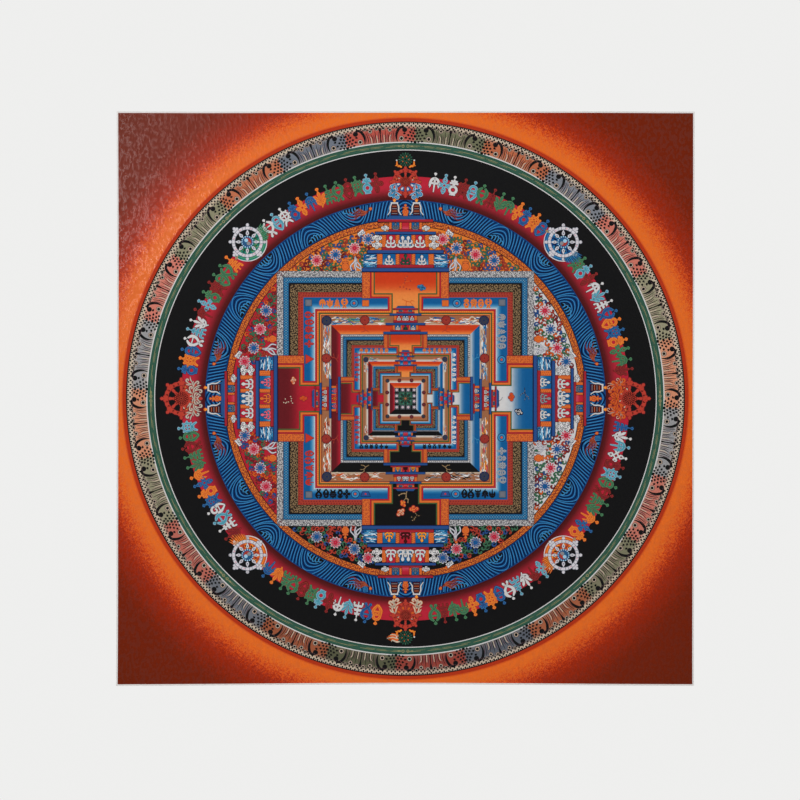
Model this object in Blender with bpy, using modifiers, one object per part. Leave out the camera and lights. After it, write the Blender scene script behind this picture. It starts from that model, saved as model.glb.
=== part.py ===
"""A square painted cotton canvas of the thangka kind, hanging free from its top edge.

The cloth has no brocade border, rods or ties: it is one sheet, cut a little out of square, that hangs
in shallow swells and still leans forward at its foot from having been rolled. Units are metres, +Z is
up and the painted face looks along -Y. The origin is the middle of the top edge, where it is held.
"""

import math
from collections import namedtuple

import bpy

# The cut of the cloth, before its edges stray from straight lines
WIDTH = 0.760
HEIGHT = 0.755
THICKNESS = 0.0012

# Where each edge strays inward from the straight cut: the middle of the stray and its half-length are
# measured along the edge, from its left or upper end
Stray = namedtuple("Stray", "edge along reach inward")
STRAYS = (
    Stray("left", 0.205, 0.160, 0.0009),
    Stray("right", 0.755, 0.420, 0.0016),
    Stray("top", 0.120, 0.110, 0.0005),
    Stray("top", 0.760, 0.090, 0.0006),
    Stray("foot", 0.375, 0.260, 0.0022),
)

# Broad swells of the hanging cloth: centre across and below the top edge's middle, half-width,
# half-height, and how far the middle stands towards the viewer, or away from it if negative
Swell = namedtuple("Swell", "name across down wide tall forward")
SWELLS = (
    Swell("left_shoulder", -0.250, 0.190, 0.150, 0.130, 0.0026),
    Swell("right_hollow", 0.190, 0.360, 0.160, 0.190, -0.0022),
    Swell("left_hollow", -0.300, 0.470, 0.110, 0.150, -0.0016),
    Swell("middle_swell", 0.020, 0.560, 0.210, 0.100, 0.0018),
    Swell("right_edge", 0.350, 0.610, 0.090, 0.120, 0.0022),
)

# The cloth is straight where it is held, and takes up its swells over this height below the top edge
STRAIGHT_HEAD = 0.090

# The foot leans forward, more at its left end: how far, and over what height above it this dies out
FOOT_FORWARD = 0.0034
FOOT_REACH = 0.060
FOOT_LEAN = 0.30

CELLS = 24
CLOTH_COLOUR = (0.42, 0.12, 0.05, 1.0)
CLOTH_ROUGHNESS = 0.62


def clear_scene():
    for old in list(bpy.data.objects):
        bpy.data.objects.remove(old, do_unlink=True)


def stray_inward(edge, along):
    """How far an edge strays inward from its straight cut, at a distance along it."""
    return sum(
        stray.inward * math.exp(-(((along - stray.along) / stray.reach) ** 2))
        for stray in STRAYS
        if stray.edge == edge
    )


def stand_forward(across, down):
    """How far the cloth stands towards the viewer, at a point across and below the top edge's middle."""
    held = 1.0 - math.exp(-((down / STRAIGHT_HEAD) ** 2))
    swells = sum(
        swell.forward
        * math.exp(-(((across - swell.across) / swell.wide) ** 2) - ((down - swell.down) / swell.tall) ** 2)
        for swell in SWELLS
    )
    lean = 1.0 - FOOT_LEAN * across / (WIDTH / 2)
    foot = FOOT_FORWARD * lean * math.exp(-(HEIGHT - down) / FOOT_REACH)
    return held * (swells + foot)


def cloth_point(u, v):
    """The cloth's middle surface: u runs from 0, left, to 1, right, and v from 0, top, to 1, foot."""
    left = -WIDTH / 2 + stray_inward("left", v * HEIGHT)
    right = WIDTH / 2 - stray_inward("right", v * HEIGHT)
    top = stray_inward("top", u * WIDTH)
    foot = HEIGHT - stray_inward("foot", u * WIDTH)
    across = left + (right - left) * u
    down = top + (foot - top) * v
    return across, -stand_forward(across, down), -down


def cloth_material():
    material = bpy.data.materials.new("painted_cotton")
    material.use_nodes = True
    shader = material.node_tree.nodes["Principled BSDF"]
    shader.inputs["Base Color"].default_value = CLOTH_COLOUR
    shader.inputs["Roughness"].default_value = CLOTH_ROUGHNESS
    shader.inputs["Metallic"].default_value = 0.0
    return material


def build_canvas(collection):
    """The whole sheet: a grid shaped to the hanging cloth, made solid to its real thickness."""
    bpy.ops.mesh.primitive_grid_add(x_subdivisions=CELLS, y_subdivisions=CELLS, size=1.0)
    canvas = bpy.context.object
    canvas.name = "painted_canvas"
    canvas.data.name = "painted_canvas"
    for vertex in canvas.data.vertices:
        x, y, _ = vertex.co
        vertex.co = cloth_point(0.5 + x, 0.5 - y)
    shell = canvas.modifiers.new("cloth_thickness", "SOLIDIFY")
    shell.thickness = THICKNESS
    shell.offset = 0.0
    canvas.data.materials.append(cloth_material())
    canvas.data.shade_smooth()
    for owner in list(canvas.users_collection):
        owner.objects.unlink(canvas)
    collection.objects.link(canvas)
    return canvas


def main():
    clear_scene()
    thangka = bpy.data.collections.new("thangka_painting")
    bpy.context.scene.collection.children.link(thangka)
    build_canvas(thangka)


main()
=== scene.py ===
"""The look of a painted thangka canvas: the hanging cotton, its shaded ground and a ringed palace mandala.

The cloth is one sheet, primed and painted. The paint is modelled as thin coats of pigment that lie on the
cloth and follow its swells. Sizes on the cloth are in millimetres from the mandala's centre, with x to the
viewer's right and y up, unless a line says otherwise. Angles on the rings are in degrees, clockwise from
the top.
"""

import math
from collections import namedtuple
from functools import wraps
from types import SimpleNamespace

import bpy
import numpy as np
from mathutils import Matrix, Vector


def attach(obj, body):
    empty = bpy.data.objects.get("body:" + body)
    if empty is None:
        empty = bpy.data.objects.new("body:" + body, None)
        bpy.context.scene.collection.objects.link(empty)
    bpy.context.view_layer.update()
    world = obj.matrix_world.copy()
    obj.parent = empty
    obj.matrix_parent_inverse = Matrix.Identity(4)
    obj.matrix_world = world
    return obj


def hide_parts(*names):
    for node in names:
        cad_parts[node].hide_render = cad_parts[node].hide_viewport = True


bl_info = {
    "name": "Thangka Painting",
    "version": (1, 0, 0),
    "blender": (4, 5, 0),
    "location": "View3D > Sidebar > Thangka",
    "description": "Builds a hanging cotton cloth painted with a ringed palace mandala",
    "category": "Object",
}

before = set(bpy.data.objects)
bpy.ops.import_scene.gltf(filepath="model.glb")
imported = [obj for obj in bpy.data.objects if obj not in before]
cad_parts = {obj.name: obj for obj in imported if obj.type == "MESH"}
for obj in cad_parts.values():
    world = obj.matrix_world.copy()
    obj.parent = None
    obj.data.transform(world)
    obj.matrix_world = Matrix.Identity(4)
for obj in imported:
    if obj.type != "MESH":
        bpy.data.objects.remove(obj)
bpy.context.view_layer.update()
MM = 0.001

# The hanging cloth: how its edges stray inward from the straight cut, and its broad swells, in metres
Stray = namedtuple("Stray", "edge along reach inward")
STRAYS = (
    Stray("left", 0.205, 0.160, 0.0009),
    Stray("right", 0.755, 0.420, 0.0016),
    Stray("top", 0.120, 0.110, 0.0005),
    Stray("top", 0.760, 0.090, 0.0006),
    Stray("foot", 0.375, 0.260, 0.0022),
)
Swell = namedtuple("Swell", "name across down wide tall forward")
SWELLS = (
    Swell("left_shoulder", -0.250, 0.190, 0.150, 0.130, 0.0026),
    Swell("right_hollow", 0.190, 0.360, 0.160, 0.190, -0.0022),
    Swell("left_hollow", -0.300, 0.470, 0.110, 0.150, -0.0016),
    Swell("middle_swell", 0.020, 0.560, 0.210, 0.100, 0.0018),
    Swell("right_edge", 0.350, 0.610, 0.090, 0.120, 0.0022),
)
# The cloth is straight where it is held, and takes up its swells over this height below the top edge
STRAIGHT_HEAD = 0.090
# The foot leans forward, more at its left end: how far, and over what height above it this dies out
FOOT_FORWARD = 0.0034
FOOT_REACH = 0.060
FOOT_LEAN = 0.30


def metres(label, use, size):
    return bpy.props.FloatProperty(name=label, description=use, default=size, unit="LENGTH", min=0.0)


def millimetres(label, use, size):
    return metres(label, use, size * MM)


def linear(channel):
    """A display value of 0 to 255 as the linear value that the shader reads."""
    share = channel / 255
    return share / 12.92 if share <= 0.04045 else ((share + 0.055) / 1.055) ** 2.4


def pigment(label, use, red, green, blue):
    return bpy.props.FloatVectorProperty(
        name=label,
        description=use,
        subtype="COLOR",
        size=3,
        min=0.0,
        max=1.0,
        default=(linear(red), linear(green), linear(blue)),
    )


class ClothSizes(bpy.types.PropertyGroup):
    width: metres("Width", "Width of the cut cloth", 0.760)
    height: metres("Height", "Height of the cut cloth", 0.755)
    thickness: millimetres("Thickness", "Thickness of the primed cloth", 1.2)
    bare_edge: millimetres("Bare edge", "Unpainted white edge round the picture", 2.1)
    centre_across: millimetres("Centre across", "Mandala's centre, right of the cloth's middle", -0.2)
    centre_down: millimetres("Centre down", "Mandala's centre, below the top edge", 377.7)
    coat: millimetres("Coat", "Height of one coat of paint over the next", 0.06)
    squash: bpy.props.FloatProperty(
        name="Squash", description="Height of the painted rings over their width", default=0.991, min=0.5
    )


class RingSizes(bpy.types.PropertyGroup):
    field_edge: millimetres("Field edge", "Outer radius of the dark red line round the rings", 371.6)
    lace_outer: millimetres("Lace outer", "Outer radius of the lace edge", 367.0)
    lace_inner: millimetres("Lace inner", "Where the lace edge meets the scroll ring", 358.6)
    scroll_inner: millimetres("Scroll inner", "Inner radius of the scroll ring", 340.6)
    green_outer: millimetres("Green outer", "Outer radius of the green ring", 339.1)
    green_inner: millimetres("Green inner", "Inner radius of the green ring", 330.3)
    black_outer: millimetres("Black outer", "Outer radius of the black ring", 329.1)
    black_inner: millimetres("Black inner", "Where the black ring meets the crimson one", 294.6)
    water_outer: millimetres("Water outer", "Outer radius of the ring of water", 263.4)
    water_inner: millimetres("Water inner", "Inner radius of the ring of water", 238.0)
    garden_outer: millimetres("Garden outer", "Outer radius of the gardens", 228.6)


class PalaceSizes(bpy.types.PropertyGroup):
    outer_half: millimetres("Outer palace", "Half the width of the outer palace", 169.0)
    middle_half: millimetres("Middle palace", "Half the width of the middle palace", 85.2)
    inner_half: millimetres("Inner palace", "Half the width of the inner palace", 43.4)
    centre_half: millimetres("Centre", "Half the width of the black square in the centre", 14.3)


class Pigments(bpy.types.PropertyGroup):
    black: pigment("Lamp black", "Black grounds and brush lines", 17, 17, 18)
    ink: pigment("Ink", "Fine dark outlines", 26, 20, 22)
    white: pigment("White", "Shell white", 226, 222, 220)
    chalk: pigment("Chalk", "White lines and pale ends of shaded bands", 204, 202, 202)
    cream: pigment("Cream", "Lace edge", 199, 181, 160)
    silver: pigment("Silver grey", "Scrolled border", 134, 134, 139)
    lilac: pigment("Lilac grey", "Rims of the wheels", 204, 200, 206)
    grey: pigment("Grey", "Shading of the white work", 112, 112, 120)
    lead: pigment("Lead grey", "Dark scrollwork of the silver border", 62, 62, 64)
    gold: pigment("Gold", "Gold scrollwork on dark bands", 157, 130, 94)
    old_gold: pigment("Old gold", "Gold threads on the green ring", 142, 138, 98)
    ochre: pigment("Ochre", "Tan bands", 152, 99, 68)
    brown: pigment("Brown", "Dark brown grounds", 42, 32, 26)
    orange: pigment("Orange", "Minium orange", 212, 106, 46)
    light_orange: pigment("Light orange", "Bright orange", 240, 150, 52)
    apricot: pigment("Apricot", "Pale end of the upper quarter's ground", 226, 134, 66)
    burnt_orange: pigment("Burnt orange", "Deep orange", 206, 88, 34)
    ring_orange: pigment("Ring orange", "Orange ring round the gardens", 217, 118, 44)
    red: pigment("Red", "Vermilion", 190, 52, 42)
    flame: pigment("Flame", "Red orange grounds", 196, 58, 24)
    brick: pigment("Brick", "Dotted red band of the palace", 162, 58, 44)
    terracotta: pigment("Terracotta", "Lotus discs", 182, 60, 46)
    beam_red: pigment("Beam red", "Red beams", 152, 36, 46)
    madder: pigment("Madder", "Dark red line round the rings", 172, 50, 22)
    crimson: pigment("Crimson", "Crimson ring and beams", 176, 32, 48)
    garnet: pigment("Garnet", "Deep end of the left quarter's ground", 96, 24, 30)
    mauve: pigment("Mauve", "Fine lines of the scroll ring", 84, 58, 66)
    maroon: pigment("Maroon", "Deep red", 116, 34, 40)
    wine: pigment("Wine", "Darkest red", 66, 16, 16)
    pink: pigment("Pink", "Pink petals", 216, 100, 124)
    rose: pigment("Rose", "Deep pink petals", 196, 54, 84)
    salmon: pigment("Salmon", "Salmon stretch of the scroll ring", 177, 80, 68)
    clay: pigment("Clay", "Orange stretch of the scroll ring", 173, 92, 60)
    slate: pigment("Slate", "Blue-grey stretch of the scroll ring", 102, 109, 121)
    olive: pigment("Olive", "Olive stretch of the scroll ring", 106, 107, 82)
    deep_water: pigment("Deep water", "Gaps between the streams", 4, 18, 46)
    stream: pigment("Stream", "Body of the streams", 8, 60, 116)
    crest: pigment("Crest", "Light lines along the streams", 56, 134, 188)
    navy: pigment("Navy", "Darkest blue", 18, 38, 86)
    blue: pigment("Blue", "Azurite blue", 15, 87, 142)
    band_blue: pigment("Band blue", "Beaded band of the palace", 34, 85, 125)
    beam_blue: pigment("Beam blue", "Blue beams", 40, 76, 134)
    sky: pigment("Sky blue", "Light blue", 58, 134, 178)
    turquoise: pigment("Turquoise", "Emblems", 76, 148, 166)
    pale_blue: pigment("Pale blue", "Palest blue", 150, 196, 220)
    teal: pigment("Teal", "Blue-green halo", 22, 124, 108)
    green: pigment("Green", "Malachite green", 60, 106, 78)
    ring_green: pigment("Ring green", "Green ring", 50, 86, 71)
    leaf: pigment("Leaf green", "Light green", 98, 150, 96)
    dark_green: pigment("Dark green", "Dark green lines", 30, 74, 58)
    moss: pigment("Moss", "Green lines round the palaces", 66, 92, 52)


PIGMENT_NAMES = tuple(Pigments.__annotations__)
PIGMENT_SLOT = {name: slot for slot, name in enumerate(PIGMENT_NAMES)}


def in_mm(sizes):
    """A group's sizes in millimetres, by name."""
    return SimpleNamespace(**{name: getattr(sizes, name) / MM for name in sizes.__annotations__})


def cloth():
    """The cloth's sizes, in metres."""
    return bpy.context.scene.thangka_cloth


def rings():
    """The rings' radii, in millimetres."""
    return in_mm(bpy.context.scene.thangka_rings)


def tint(name, other=None, share=0.0):
    """A pigment's colour, or one mixed by eye from two of them."""
    pigments = bpy.context.scene.thangka_pigments
    first = np.array(getattr(pigments, name))
    if other is None:
        return first
    second = np.array(getattr(pigments, other))
    return ((1 - share) * first ** (1 / EYE) + share * second ** (1 / EYE)) ** EYE


# The hanging cloth's surface


def stray_inward(edge, along):
    """How far an edge strays inward from its straight cut, at a distance along it."""
    return sum(s.inward * np.exp(-(((along - s.along) / s.reach) ** 2)) for s in STRAYS if s.edge == edge)


def stand_forward(across, down):
    """How far the cloth stands towards the viewer, at a point across and below the top edge's middle."""
    sizes = cloth()
    held = 1.0 - np.exp(-((down / STRAIGHT_HEAD) ** 2))
    swells = sum(
        s.forward * np.exp(-(((across - s.across) / s.wide) ** 2) - ((down - s.down) / s.tall) ** 2)
        for s in SWELLS
    )
    lean = 1.0 - FOOT_LEAN * across / (sizes.width / 2)
    foot = FOOT_FORWARD * lean * np.exp(-(sizes.height - down) / FOOT_REACH)
    return held * (swells + foot)


def outline_point(u, v, inset):
    """A point of the cloth from shares of its width and height, drawn in from the edges by an inset."""
    sizes = cloth()
    left = -sizes.width / 2 + stray_inward("left", v * sizes.height) + inset
    right = sizes.width / 2 - stray_inward("right", v * sizes.height) - inset
    top = stray_inward("top", u * sizes.width) + inset
    foot = sizes.height - stray_inward("foot", u * sizes.width) - inset
    return left + (right - left) * u, top + (foot - top) * v


def on_cloth(across, down, coats):
    """Points in space on the cloth's painted face, raised by a number of coats of paint."""
    sizes = cloth()
    forward = stand_forward(across, down) + sizes.thickness / 2 + coats * sizes.coat
    return np.column_stack([across, -forward, -down])


def from_centre(points):
    """Distances across and down the cloth in metres, of points in millimetres from the mandala's centre."""
    sizes = cloth()
    across = sizes.centre_across + points[:, 0] * MM
    down = sizes.centre_down - points[:, 1] * MM * sizes.squash
    return across, down


# Drawing in flat patches of paint

# Coats of paint, counted from the cloth. A drawing's own layers add to its coat
FIELD, GROUND, BAND, FORM, DETAIL, LINE = 1, 2, 3, 4, 5, 6
GATE = 5
TOWER = 9
# Areas are cut into cells no longer than this, so that they follow the cloth. Long walls have coarser ones
CELL = 9.0
WALL_CELL = 14.0


class Motif:
    """Patches of paint: points in millimetres, the coat each lies on and its tint, and faces by pigment."""

    def __init__(self):
        self.patches = []

    def patch(self, points, faces, paint, coat):
        """Adds faces over points, in a pigment given by name or in a tint for each point."""
        points = np.asarray(points, float).reshape(-1, 2)
        faces = np.asarray(faces, int)
        if faces.shape[1] == 3:
            faces = np.column_stack([faces, np.full(len(faces), -1)])
        tints = np.zeros((len(points), 3)) if isinstance(paint, str) else np.asarray(paint, float)
        slot = PIGMENT_SLOT[paint] if isinstance(paint, str) else 0
        coats = np.full(len(points), float(coat))
        self.patches.append((points, coats, tints, faces, np.full(len(faces), slot)))

    def joined(self):
        """All patches as one: points, coats, tints, faces and pigments."""
        if not self.patches:
            self.patch([], np.empty((0, 4)), "black", 0)
        if len(self.patches) > 1:
            points, coats, tints, faces, slots = zip(*self.patches)
            starts = np.cumsum([0] + [len(part) for part in points])
            faces = [np.where(part < 0, -1, part + start) for part, start in zip(faces, starts)]
            self.patches = [tuple(np.concatenate(parts) for parts in (points, coats, tints, faces, slots))]
        return self.patches[0]

    def stamp(self, motif, at=(0.0, 0.0), turn=0.0, size=1.0, mirror=False, dyes=None, lift=0.0):
        """Adds a copy of another motif, mirrored, sized, turned clockwise and moved, in that order."""
        points, coats, tints, faces, slots = motif.joined()
        points = points * np.array([-1.0 if mirror else 1.0, 1.0]) * size
        points = turned(points, turn) + np.asarray(at, float)
        if dyes:
            table = np.arange(len(PIGMENT_NAMES))
            for old, new in dyes.items():
                table[PIGMENT_SLOT[old]] = PIGMENT_SLOT[new]
            slots = table[slots]
        self.patches.append((points, coats + lift, tints, faces, slots))

    def bent(self, radius):
        """The motif with its x wound clockwise round a circle of this radius from the top, y outward."""
        points, coats, tints, faces, slots = self.joined()
        bend = Motif()
        angle = points[:, 0] / radius
        reach = radius + points[:, 1]
        wound = np.column_stack([reach * np.sin(angle), reach * np.cos(angle)])
        bend.patches = [(wound, coats, tints, faces, slots)]
        return bend

    def stroke(self, points, width, paint, coat, closed=False):
        """A brush line along points, of one width or of one for each point."""
        points = np.asarray(points, float)
        if closed:
            along = np.roll(points, -1, axis=0) - np.roll(points, 1, axis=0)
        else:
            along = np.gradient(points, axis=0)
        along /= np.maximum(np.linalg.norm(along, axis=1, keepdims=True), 1e-9)
        widths = np.reshape(np.broadcast_to(width, len(points)), (-1, 1))
        aside = np.column_stack([-along[:, 1], along[:, 0]]) * widths / 2
        self.strip(points + aside, points - aside, paint, coat, closed)

    def brush(self, points, width, start, end, paint, coat, peak=0.5, grow=0.0):
        """A brush line that swells between two shares of its width, broader all round by a growth."""
        self.stroke(points, swelling(len(points), width, start, end, peak) + 2 * grow, paint, coat)

    def strip(self, left, right, paint, coat, closed=False):
        """A ribbon of paint between two lines with as many points each."""
        count = len(left)
        index = np.arange(count if closed else count - 1)
        after = (index + 1) % count
        faces = np.column_stack([index, after, after + count, index + count])
        self.patch(np.vstack([left, right]), faces, paint, coat)

    def blot(self, points, paint, coat):
        """A filled outline that its own middle can see all of."""
        points = np.asarray(points, float)
        index = np.arange(len(points))
        faces = np.column_stack([np.full(len(points), len(points)), index, (index + 1) % len(points)])
        self.patch(np.vstack([points, points.mean(axis=0)]), faces, paint, coat)

    def disc(self, at, radius, paint, coat, sides=10):
        points = np.asarray(at, float) + circle(radius, sides)
        index = np.arange(1, sides - 1)
        self.patch(points, np.column_stack([np.zeros(sides - 2, int), index, index + 1]), paint, coat)

    def hoop(self, at, radius, width, paint, coat, sides=12):
        around = circle(1.0, sides)
        at = np.asarray(at, float)
        outer, inner = (at + around * (radius + half) for half in (width / 2, -width / 2))
        self.strip(outer, inner, paint, coat, True)

    def drop(self, at, length, width, turn, paint, coat, sides=7):
        """A teardrop with its point at the given place, pointing that way: turn 0 has its body above."""
        share = np.linspace(0, 1, sides)
        half = width / 2 * np.sin(np.pi * share ** 1.6) ** 0.8
        spine = np.column_stack([np.zeros(sides), share * length])
        across = np.column_stack([half, np.zeros(sides)])
        at = np.asarray(at, float)
        self.strip(at + turned(spine + across, turn), at + turned(spine - across, turn), paint, coat)

    def panel(self, corners, paint, coat, cell=CELL):
        """A four-cornered area, cut small enough to follow the cloth. Colour stops grade it from its first
        and second corners to its third and fourth."""
        a, b, c, d = (np.asarray(corner, float) for corner in corners)
        wide = max(1, math.ceil(max(np.linalg.norm(b - a), np.linalg.norm(c - d)) / cell))
        tall = max(1, math.ceil(max(np.linalg.norm(d - a), np.linalg.norm(c - b)) / cell))
        graded = not isinstance(paint, str)
        if graded:
            tall = max(tall, GRADE_STEPS)
        shares = np.meshgrid(np.linspace(0, 1, wide + 1), np.linspace(0, 1, tall + 1))
        u, v = (grid.reshape(-1, 1) for grid in shares)
        points = (a * (1 - u) + b * u) * (1 - v) + (d * (1 - u) + c * u) * v
        if graded:
            paint = graded_tints(paint, v)
        self.patch(points, grid_faces(tall, wide), paint, coat)

    def bar(self, left, low, right, high, paint, coat):
        self.panel([(left, low), (right, low), (right, high), (left, high)], paint, coat)

    def slab(self, half, low, high, paint, coat, grow=0.0):
        """A bar across the middle line, larger all round by a growth."""
        self.bar(-half - grow, low - grow, half + grow, high + grow, paint, coat)

    def ring(self, inner, outer, paint, coat, start=0.0, end=360.0, step=1.5, rows=1):
        """A ring, or an arc of it, in one pigment or graded from its inner to its outer edge."""
        steps = max(2, round((end - start) / step))
        angle = np.radians(np.linspace(start, end, steps + 1))
        graded = not isinstance(paint, str)
        if graded:
            rows = max(rows, GRADE_STEPS)
        way = np.column_stack([np.sin(angle), np.cos(angle)])
        reach = np.linspace(inner, outer, rows + 1)
        points = (reach[:, None, None] * way[None, :, :]).reshape(-1, 2)
        if graded:
            share = np.repeat(np.linspace(0, 1, rows + 1), steps + 1).reshape(-1, 1)
            paint = graded_tints(paint, share)
        self.patch(points, grid_faces(rows, steps), paint, coat)


GRADE_STEPS = 6
# Tints are mixed in this power of the light, as the eye does
EYE = 2.2


def drawn(draw):
    """Turns a function that draws on a motif into one that returns a new motif so drawn."""

    @wraps(draw)
    def drawing(*details, **named):
        art = Motif()
        draw(art, *details, **named)
        return art

    return drawing


def grid_faces(rows, columns):
    """The faces of a grid whose points run along its rows, one row after the other."""
    row, column = (grid.ravel() for grid in np.mgrid[0:rows, 0:columns])
    corner = row * (columns + 1) + column
    return np.column_stack([corner, corner + 1, corner + columns + 2, corner + columns + 1])


def graded_tints(stops, share):
    """Tints along a row of colour stops, each (share, tint), mixed by eye."""
    places = [stop[0] for stop in stops]
    values = np.array([stop[1] for stop in stops]) ** (1 / EYE)
    share = np.asarray(share, float).ravel()
    return np.column_stack([np.interp(share, places, values[:, k]) for k in range(3)]) ** EYE


def turned(points, degrees):
    """Points turned clockwise round the origin."""
    angle = math.radians(degrees)
    c, s = math.cos(angle), math.sin(angle)
    return np.asarray(points, float) @ np.array([[c, -s], [s, c]])


def circle(radius, sides):
    angle = np.arange(sides) * 2 * math.pi / sides
    return radius * np.column_stack([np.sin(angle), np.cos(angle)])


def arc(at, radius, start, end, steps=12):
    """Points along an arc, its angles in degrees clockwise from the top."""
    angle = np.radians(np.linspace(start, end, steps + 1))
    return np.asarray(at, float) + radius * np.column_stack([np.sin(angle), np.cos(angle)])


def curve(points, steps=16):
    """A smooth line through a few points."""
    points = np.asarray(points, float)
    padded = np.vstack([2 * points[0] - points[1], points, 2 * points[-1] - points[-2]])
    share = np.linspace(0, len(points) - 1, steps + 1)
    index = np.minimum(share.astype(int), len(points) - 2)
    t = (share - index)[:, None]
    a, b, c, d = (padded[index + k] for k in range(4))
    return 0.5 * (
        2 * b + (c - a) * t + (2 * a - 5 * b + 4 * c - d) * t ** 2 + (3 * b - a - 3 * c + d) * t ** 3
    )


def swelling(count, width, start=0.0, end=0.0, peak=0.5):
    """Widths of a brush line that swells to its full width on the way, as shares of it at both ends."""
    share = np.linspace(0, 1, count)
    return width * np.interp(share, [0, peak, 1], [start, 1, end]) ** 0.7


def polar(angle, radius):
    return np.array([radius * math.sin(math.radians(angle)), radius * math.cos(math.radians(angle))])


# Materials


def new_group(name, inputs, outputs):
    """An empty shader node group with named float sockets, its inputs with their defaults."""
    group = bpy.data.node_groups.new(name, "ShaderNodeTree")
    for label, default in inputs.items():
        socket = group.interface.new_socket(name=label, in_out="INPUT", socket_type="NodeSocketFloat")
        socket.default_value = default
    for label in outputs:
        group.interface.new_socket(name=label, in_out="OUTPUT", socket_type="NodeSocketFloat")
    return group, group.nodes.new("NodeGroupInput").outputs, group.nodes.new("NodeGroupOutput").inputs


def node(tree, kind, feeds=None, **settings):
    """A new node with its settings, and with sockets or values fed to its inputs."""
    made = tree.nodes.new(kind)
    for key, value in settings.items():
        setattr(made, key, value)
    for slot, value in (feeds or {}).items():
        if isinstance(value, bpy.types.NodeSocket):
            tree.links.new(value, made.inputs[slot])
        else:
            made.inputs[slot].default_value = value
    return made


def maths(tree, operation, first, second=None, clamp=False):
    """A maths node fed by sockets or numbers."""
    feeds = {0: first} if second is None else {0: first, 1: second}
    return node(tree, "ShaderNodeMath", feeds, operation=operation, use_clamp=clamp).outputs[0]


def ranged(tree, value, start, end, low, high):
    """A value carried from the range of start and end to that of low and high."""
    feeds = {"Value": value, "From Min": start, "From Max": end, "To Min": low, "To Max": high}
    return node(tree, "ShaderNodeMapRange", feeds).outputs["Result"]


def mottled(tree, mask, colour, low, high):
    """A colour made a little darker and lighter by a mask."""
    swing = ranged(tree, mask, *MOTTLE_REACH, low, high)
    feeds = {"Factor": 1.0, "A": colour, "B": swing}
    return node(tree, "ShaderNodeMix", feeds, data_type="RGBA", blend_type="MULTIPLY").outputs["Result"]


THREAD_PITCH = 0.0009
PEBBLE_SIZE = 0.0036
# The priming was brushed downwards, so its pebbles are a little longer that way
PEBBLE_STRETCH = (1.0, 1.0, 0.62)
PEBBLE_HEIGHT = 0.00022
WEAVE_DEPTH = 0.3
PATCHES_PER_METRE = 260.0
ROUGHNESS_SPREAD = 0.12


def canvas_grain_group():
    """Height of primed cotton: a fine weave under soft pebbles left by the priming."""
    if "canvas_grain" in bpy.data.node_groups:
        return bpy.data.node_groups["canvas_grain"]
    inputs = {"Thread Pitch": THREAD_PITCH, "Pebble Size": PEBBLE_SIZE, "Weave Depth": WEAVE_DEPTH}
    group, given, made = new_group("canvas_grain", inputs, ("Height", "Pebbles"))
    place = node(group, "ShaderNodeTexCoord").outputs["Object"]
    stretched = node(group, "ShaderNodeMapping", {"Vector": place, "Scale": PEBBLE_STRETCH})
    scale = maths(group, "DIVIDE", 1.0, given["Pebble Size"])
    feeds = {"Vector": stretched.outputs["Vector"], "Scale": scale, "Detail": 1.2, "Roughness": 0.5}
    pebbles = node(group, "ShaderNodeTexNoise", feeds).outputs["Fac"]
    parts = node(group, "ShaderNodeSeparateXYZ", {0: place}).outputs
    turns = maths(group, "DIVIDE", 2 * math.pi, given["Thread Pitch"])
    warp, weft = (maths(group, "SINE", maths(group, "MULTIPLY", parts[axis], turns)) for axis in "XZ")
    weave = maths(group, "MULTIPLY", maths(group, "MULTIPLY", warp, weft), given["Weave Depth"])
    group.links.new(maths(group, "ADD", pebbles, weave), made["Height"])
    group.links.new(pebbles, made["Pebbles"])
    return group


def paint_wear_group():
    """Roughness of brushed paint, with thin and thick patches, and a mask of its mottle."""
    if "paint_wear" in bpy.data.node_groups:
        return bpy.data.node_groups["paint_wear"]
    inputs = {"Roughness": PAINT_ROUGHNESS, "Spread": ROUGHNESS_SPREAD}
    group, given, made = new_group("paint_wear", inputs, ("Roughness", "Mottle"))
    place = node(group, "ShaderNodeTexCoord").outputs["Object"]
    feeds = {"Vector": place, "Scale": PATCHES_PER_METRE, "Detail": 4.0}
    patches = node(group, "ShaderNodeTexNoise", feeds).outputs["Fac"]
    spread = maths(group, "MULTIPLY", maths(group, "SUBTRACT", patches, 0.5), given["Spread"])
    group.links.new(maths(group, "ADD", given["Roughness"], spread, clamp=True), made["Roughness"])
    group.links.new(patches, made["Mottle"])
    return group


PAINT_ROUGHNESS = 0.52
PAINT_SHEEN = 0.06
MIDDLE_GREY = (0.5, 0.5, 0.5)


def painted_material(
    name, colour=MIDDLE_GREY, roughness=PAINT_ROUGHNESS, level=PAINT_SHEEN, relief=1.0, weave=WEAVE_DEPTH
):
    """Matt mineral paint on primed cotton, with the cloth's grain showing through it."""
    material = bpy.data.materials.new(name)
    material.use_nodes = True
    tree = material.node_tree
    shader = tree.nodes["Principled BSDF"]
    shader.inputs["Base Color"].default_value = (*colour, 1.0)
    shader.inputs["Specular IOR Level"].default_value = level
    wear = node(tree, "ShaderNodeGroup", node_tree=paint_wear_group())
    wear.inputs["Roughness"].default_value = roughness
    tree.links.new(wear.outputs["Roughness"], shader.inputs["Roughness"])
    grain = node(tree, "ShaderNodeGroup", node_tree=canvas_grain_group())
    grain.inputs["Weave Depth"].default_value = weave
    feeds = {"Distance": PEBBLE_HEIGHT * relief, "Height": grain.outputs["Height"]}
    bump = node(tree, "ShaderNodeBump", feeds)
    tree.links.new(bump.outputs["Normal"], shader.inputs["Normal"])
    return material, tree, shader, wear, grain


def pigment_materials():
    """One material for each pigment, in the order of their slots."""
    for name in PIGMENT_NAMES:
        if "paint_" + name not in bpy.data.materials:
            painted_material("paint_" + name, tint(name))
    return [bpy.data.materials["paint_" + name] for name in PIGMENT_NAMES]


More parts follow.
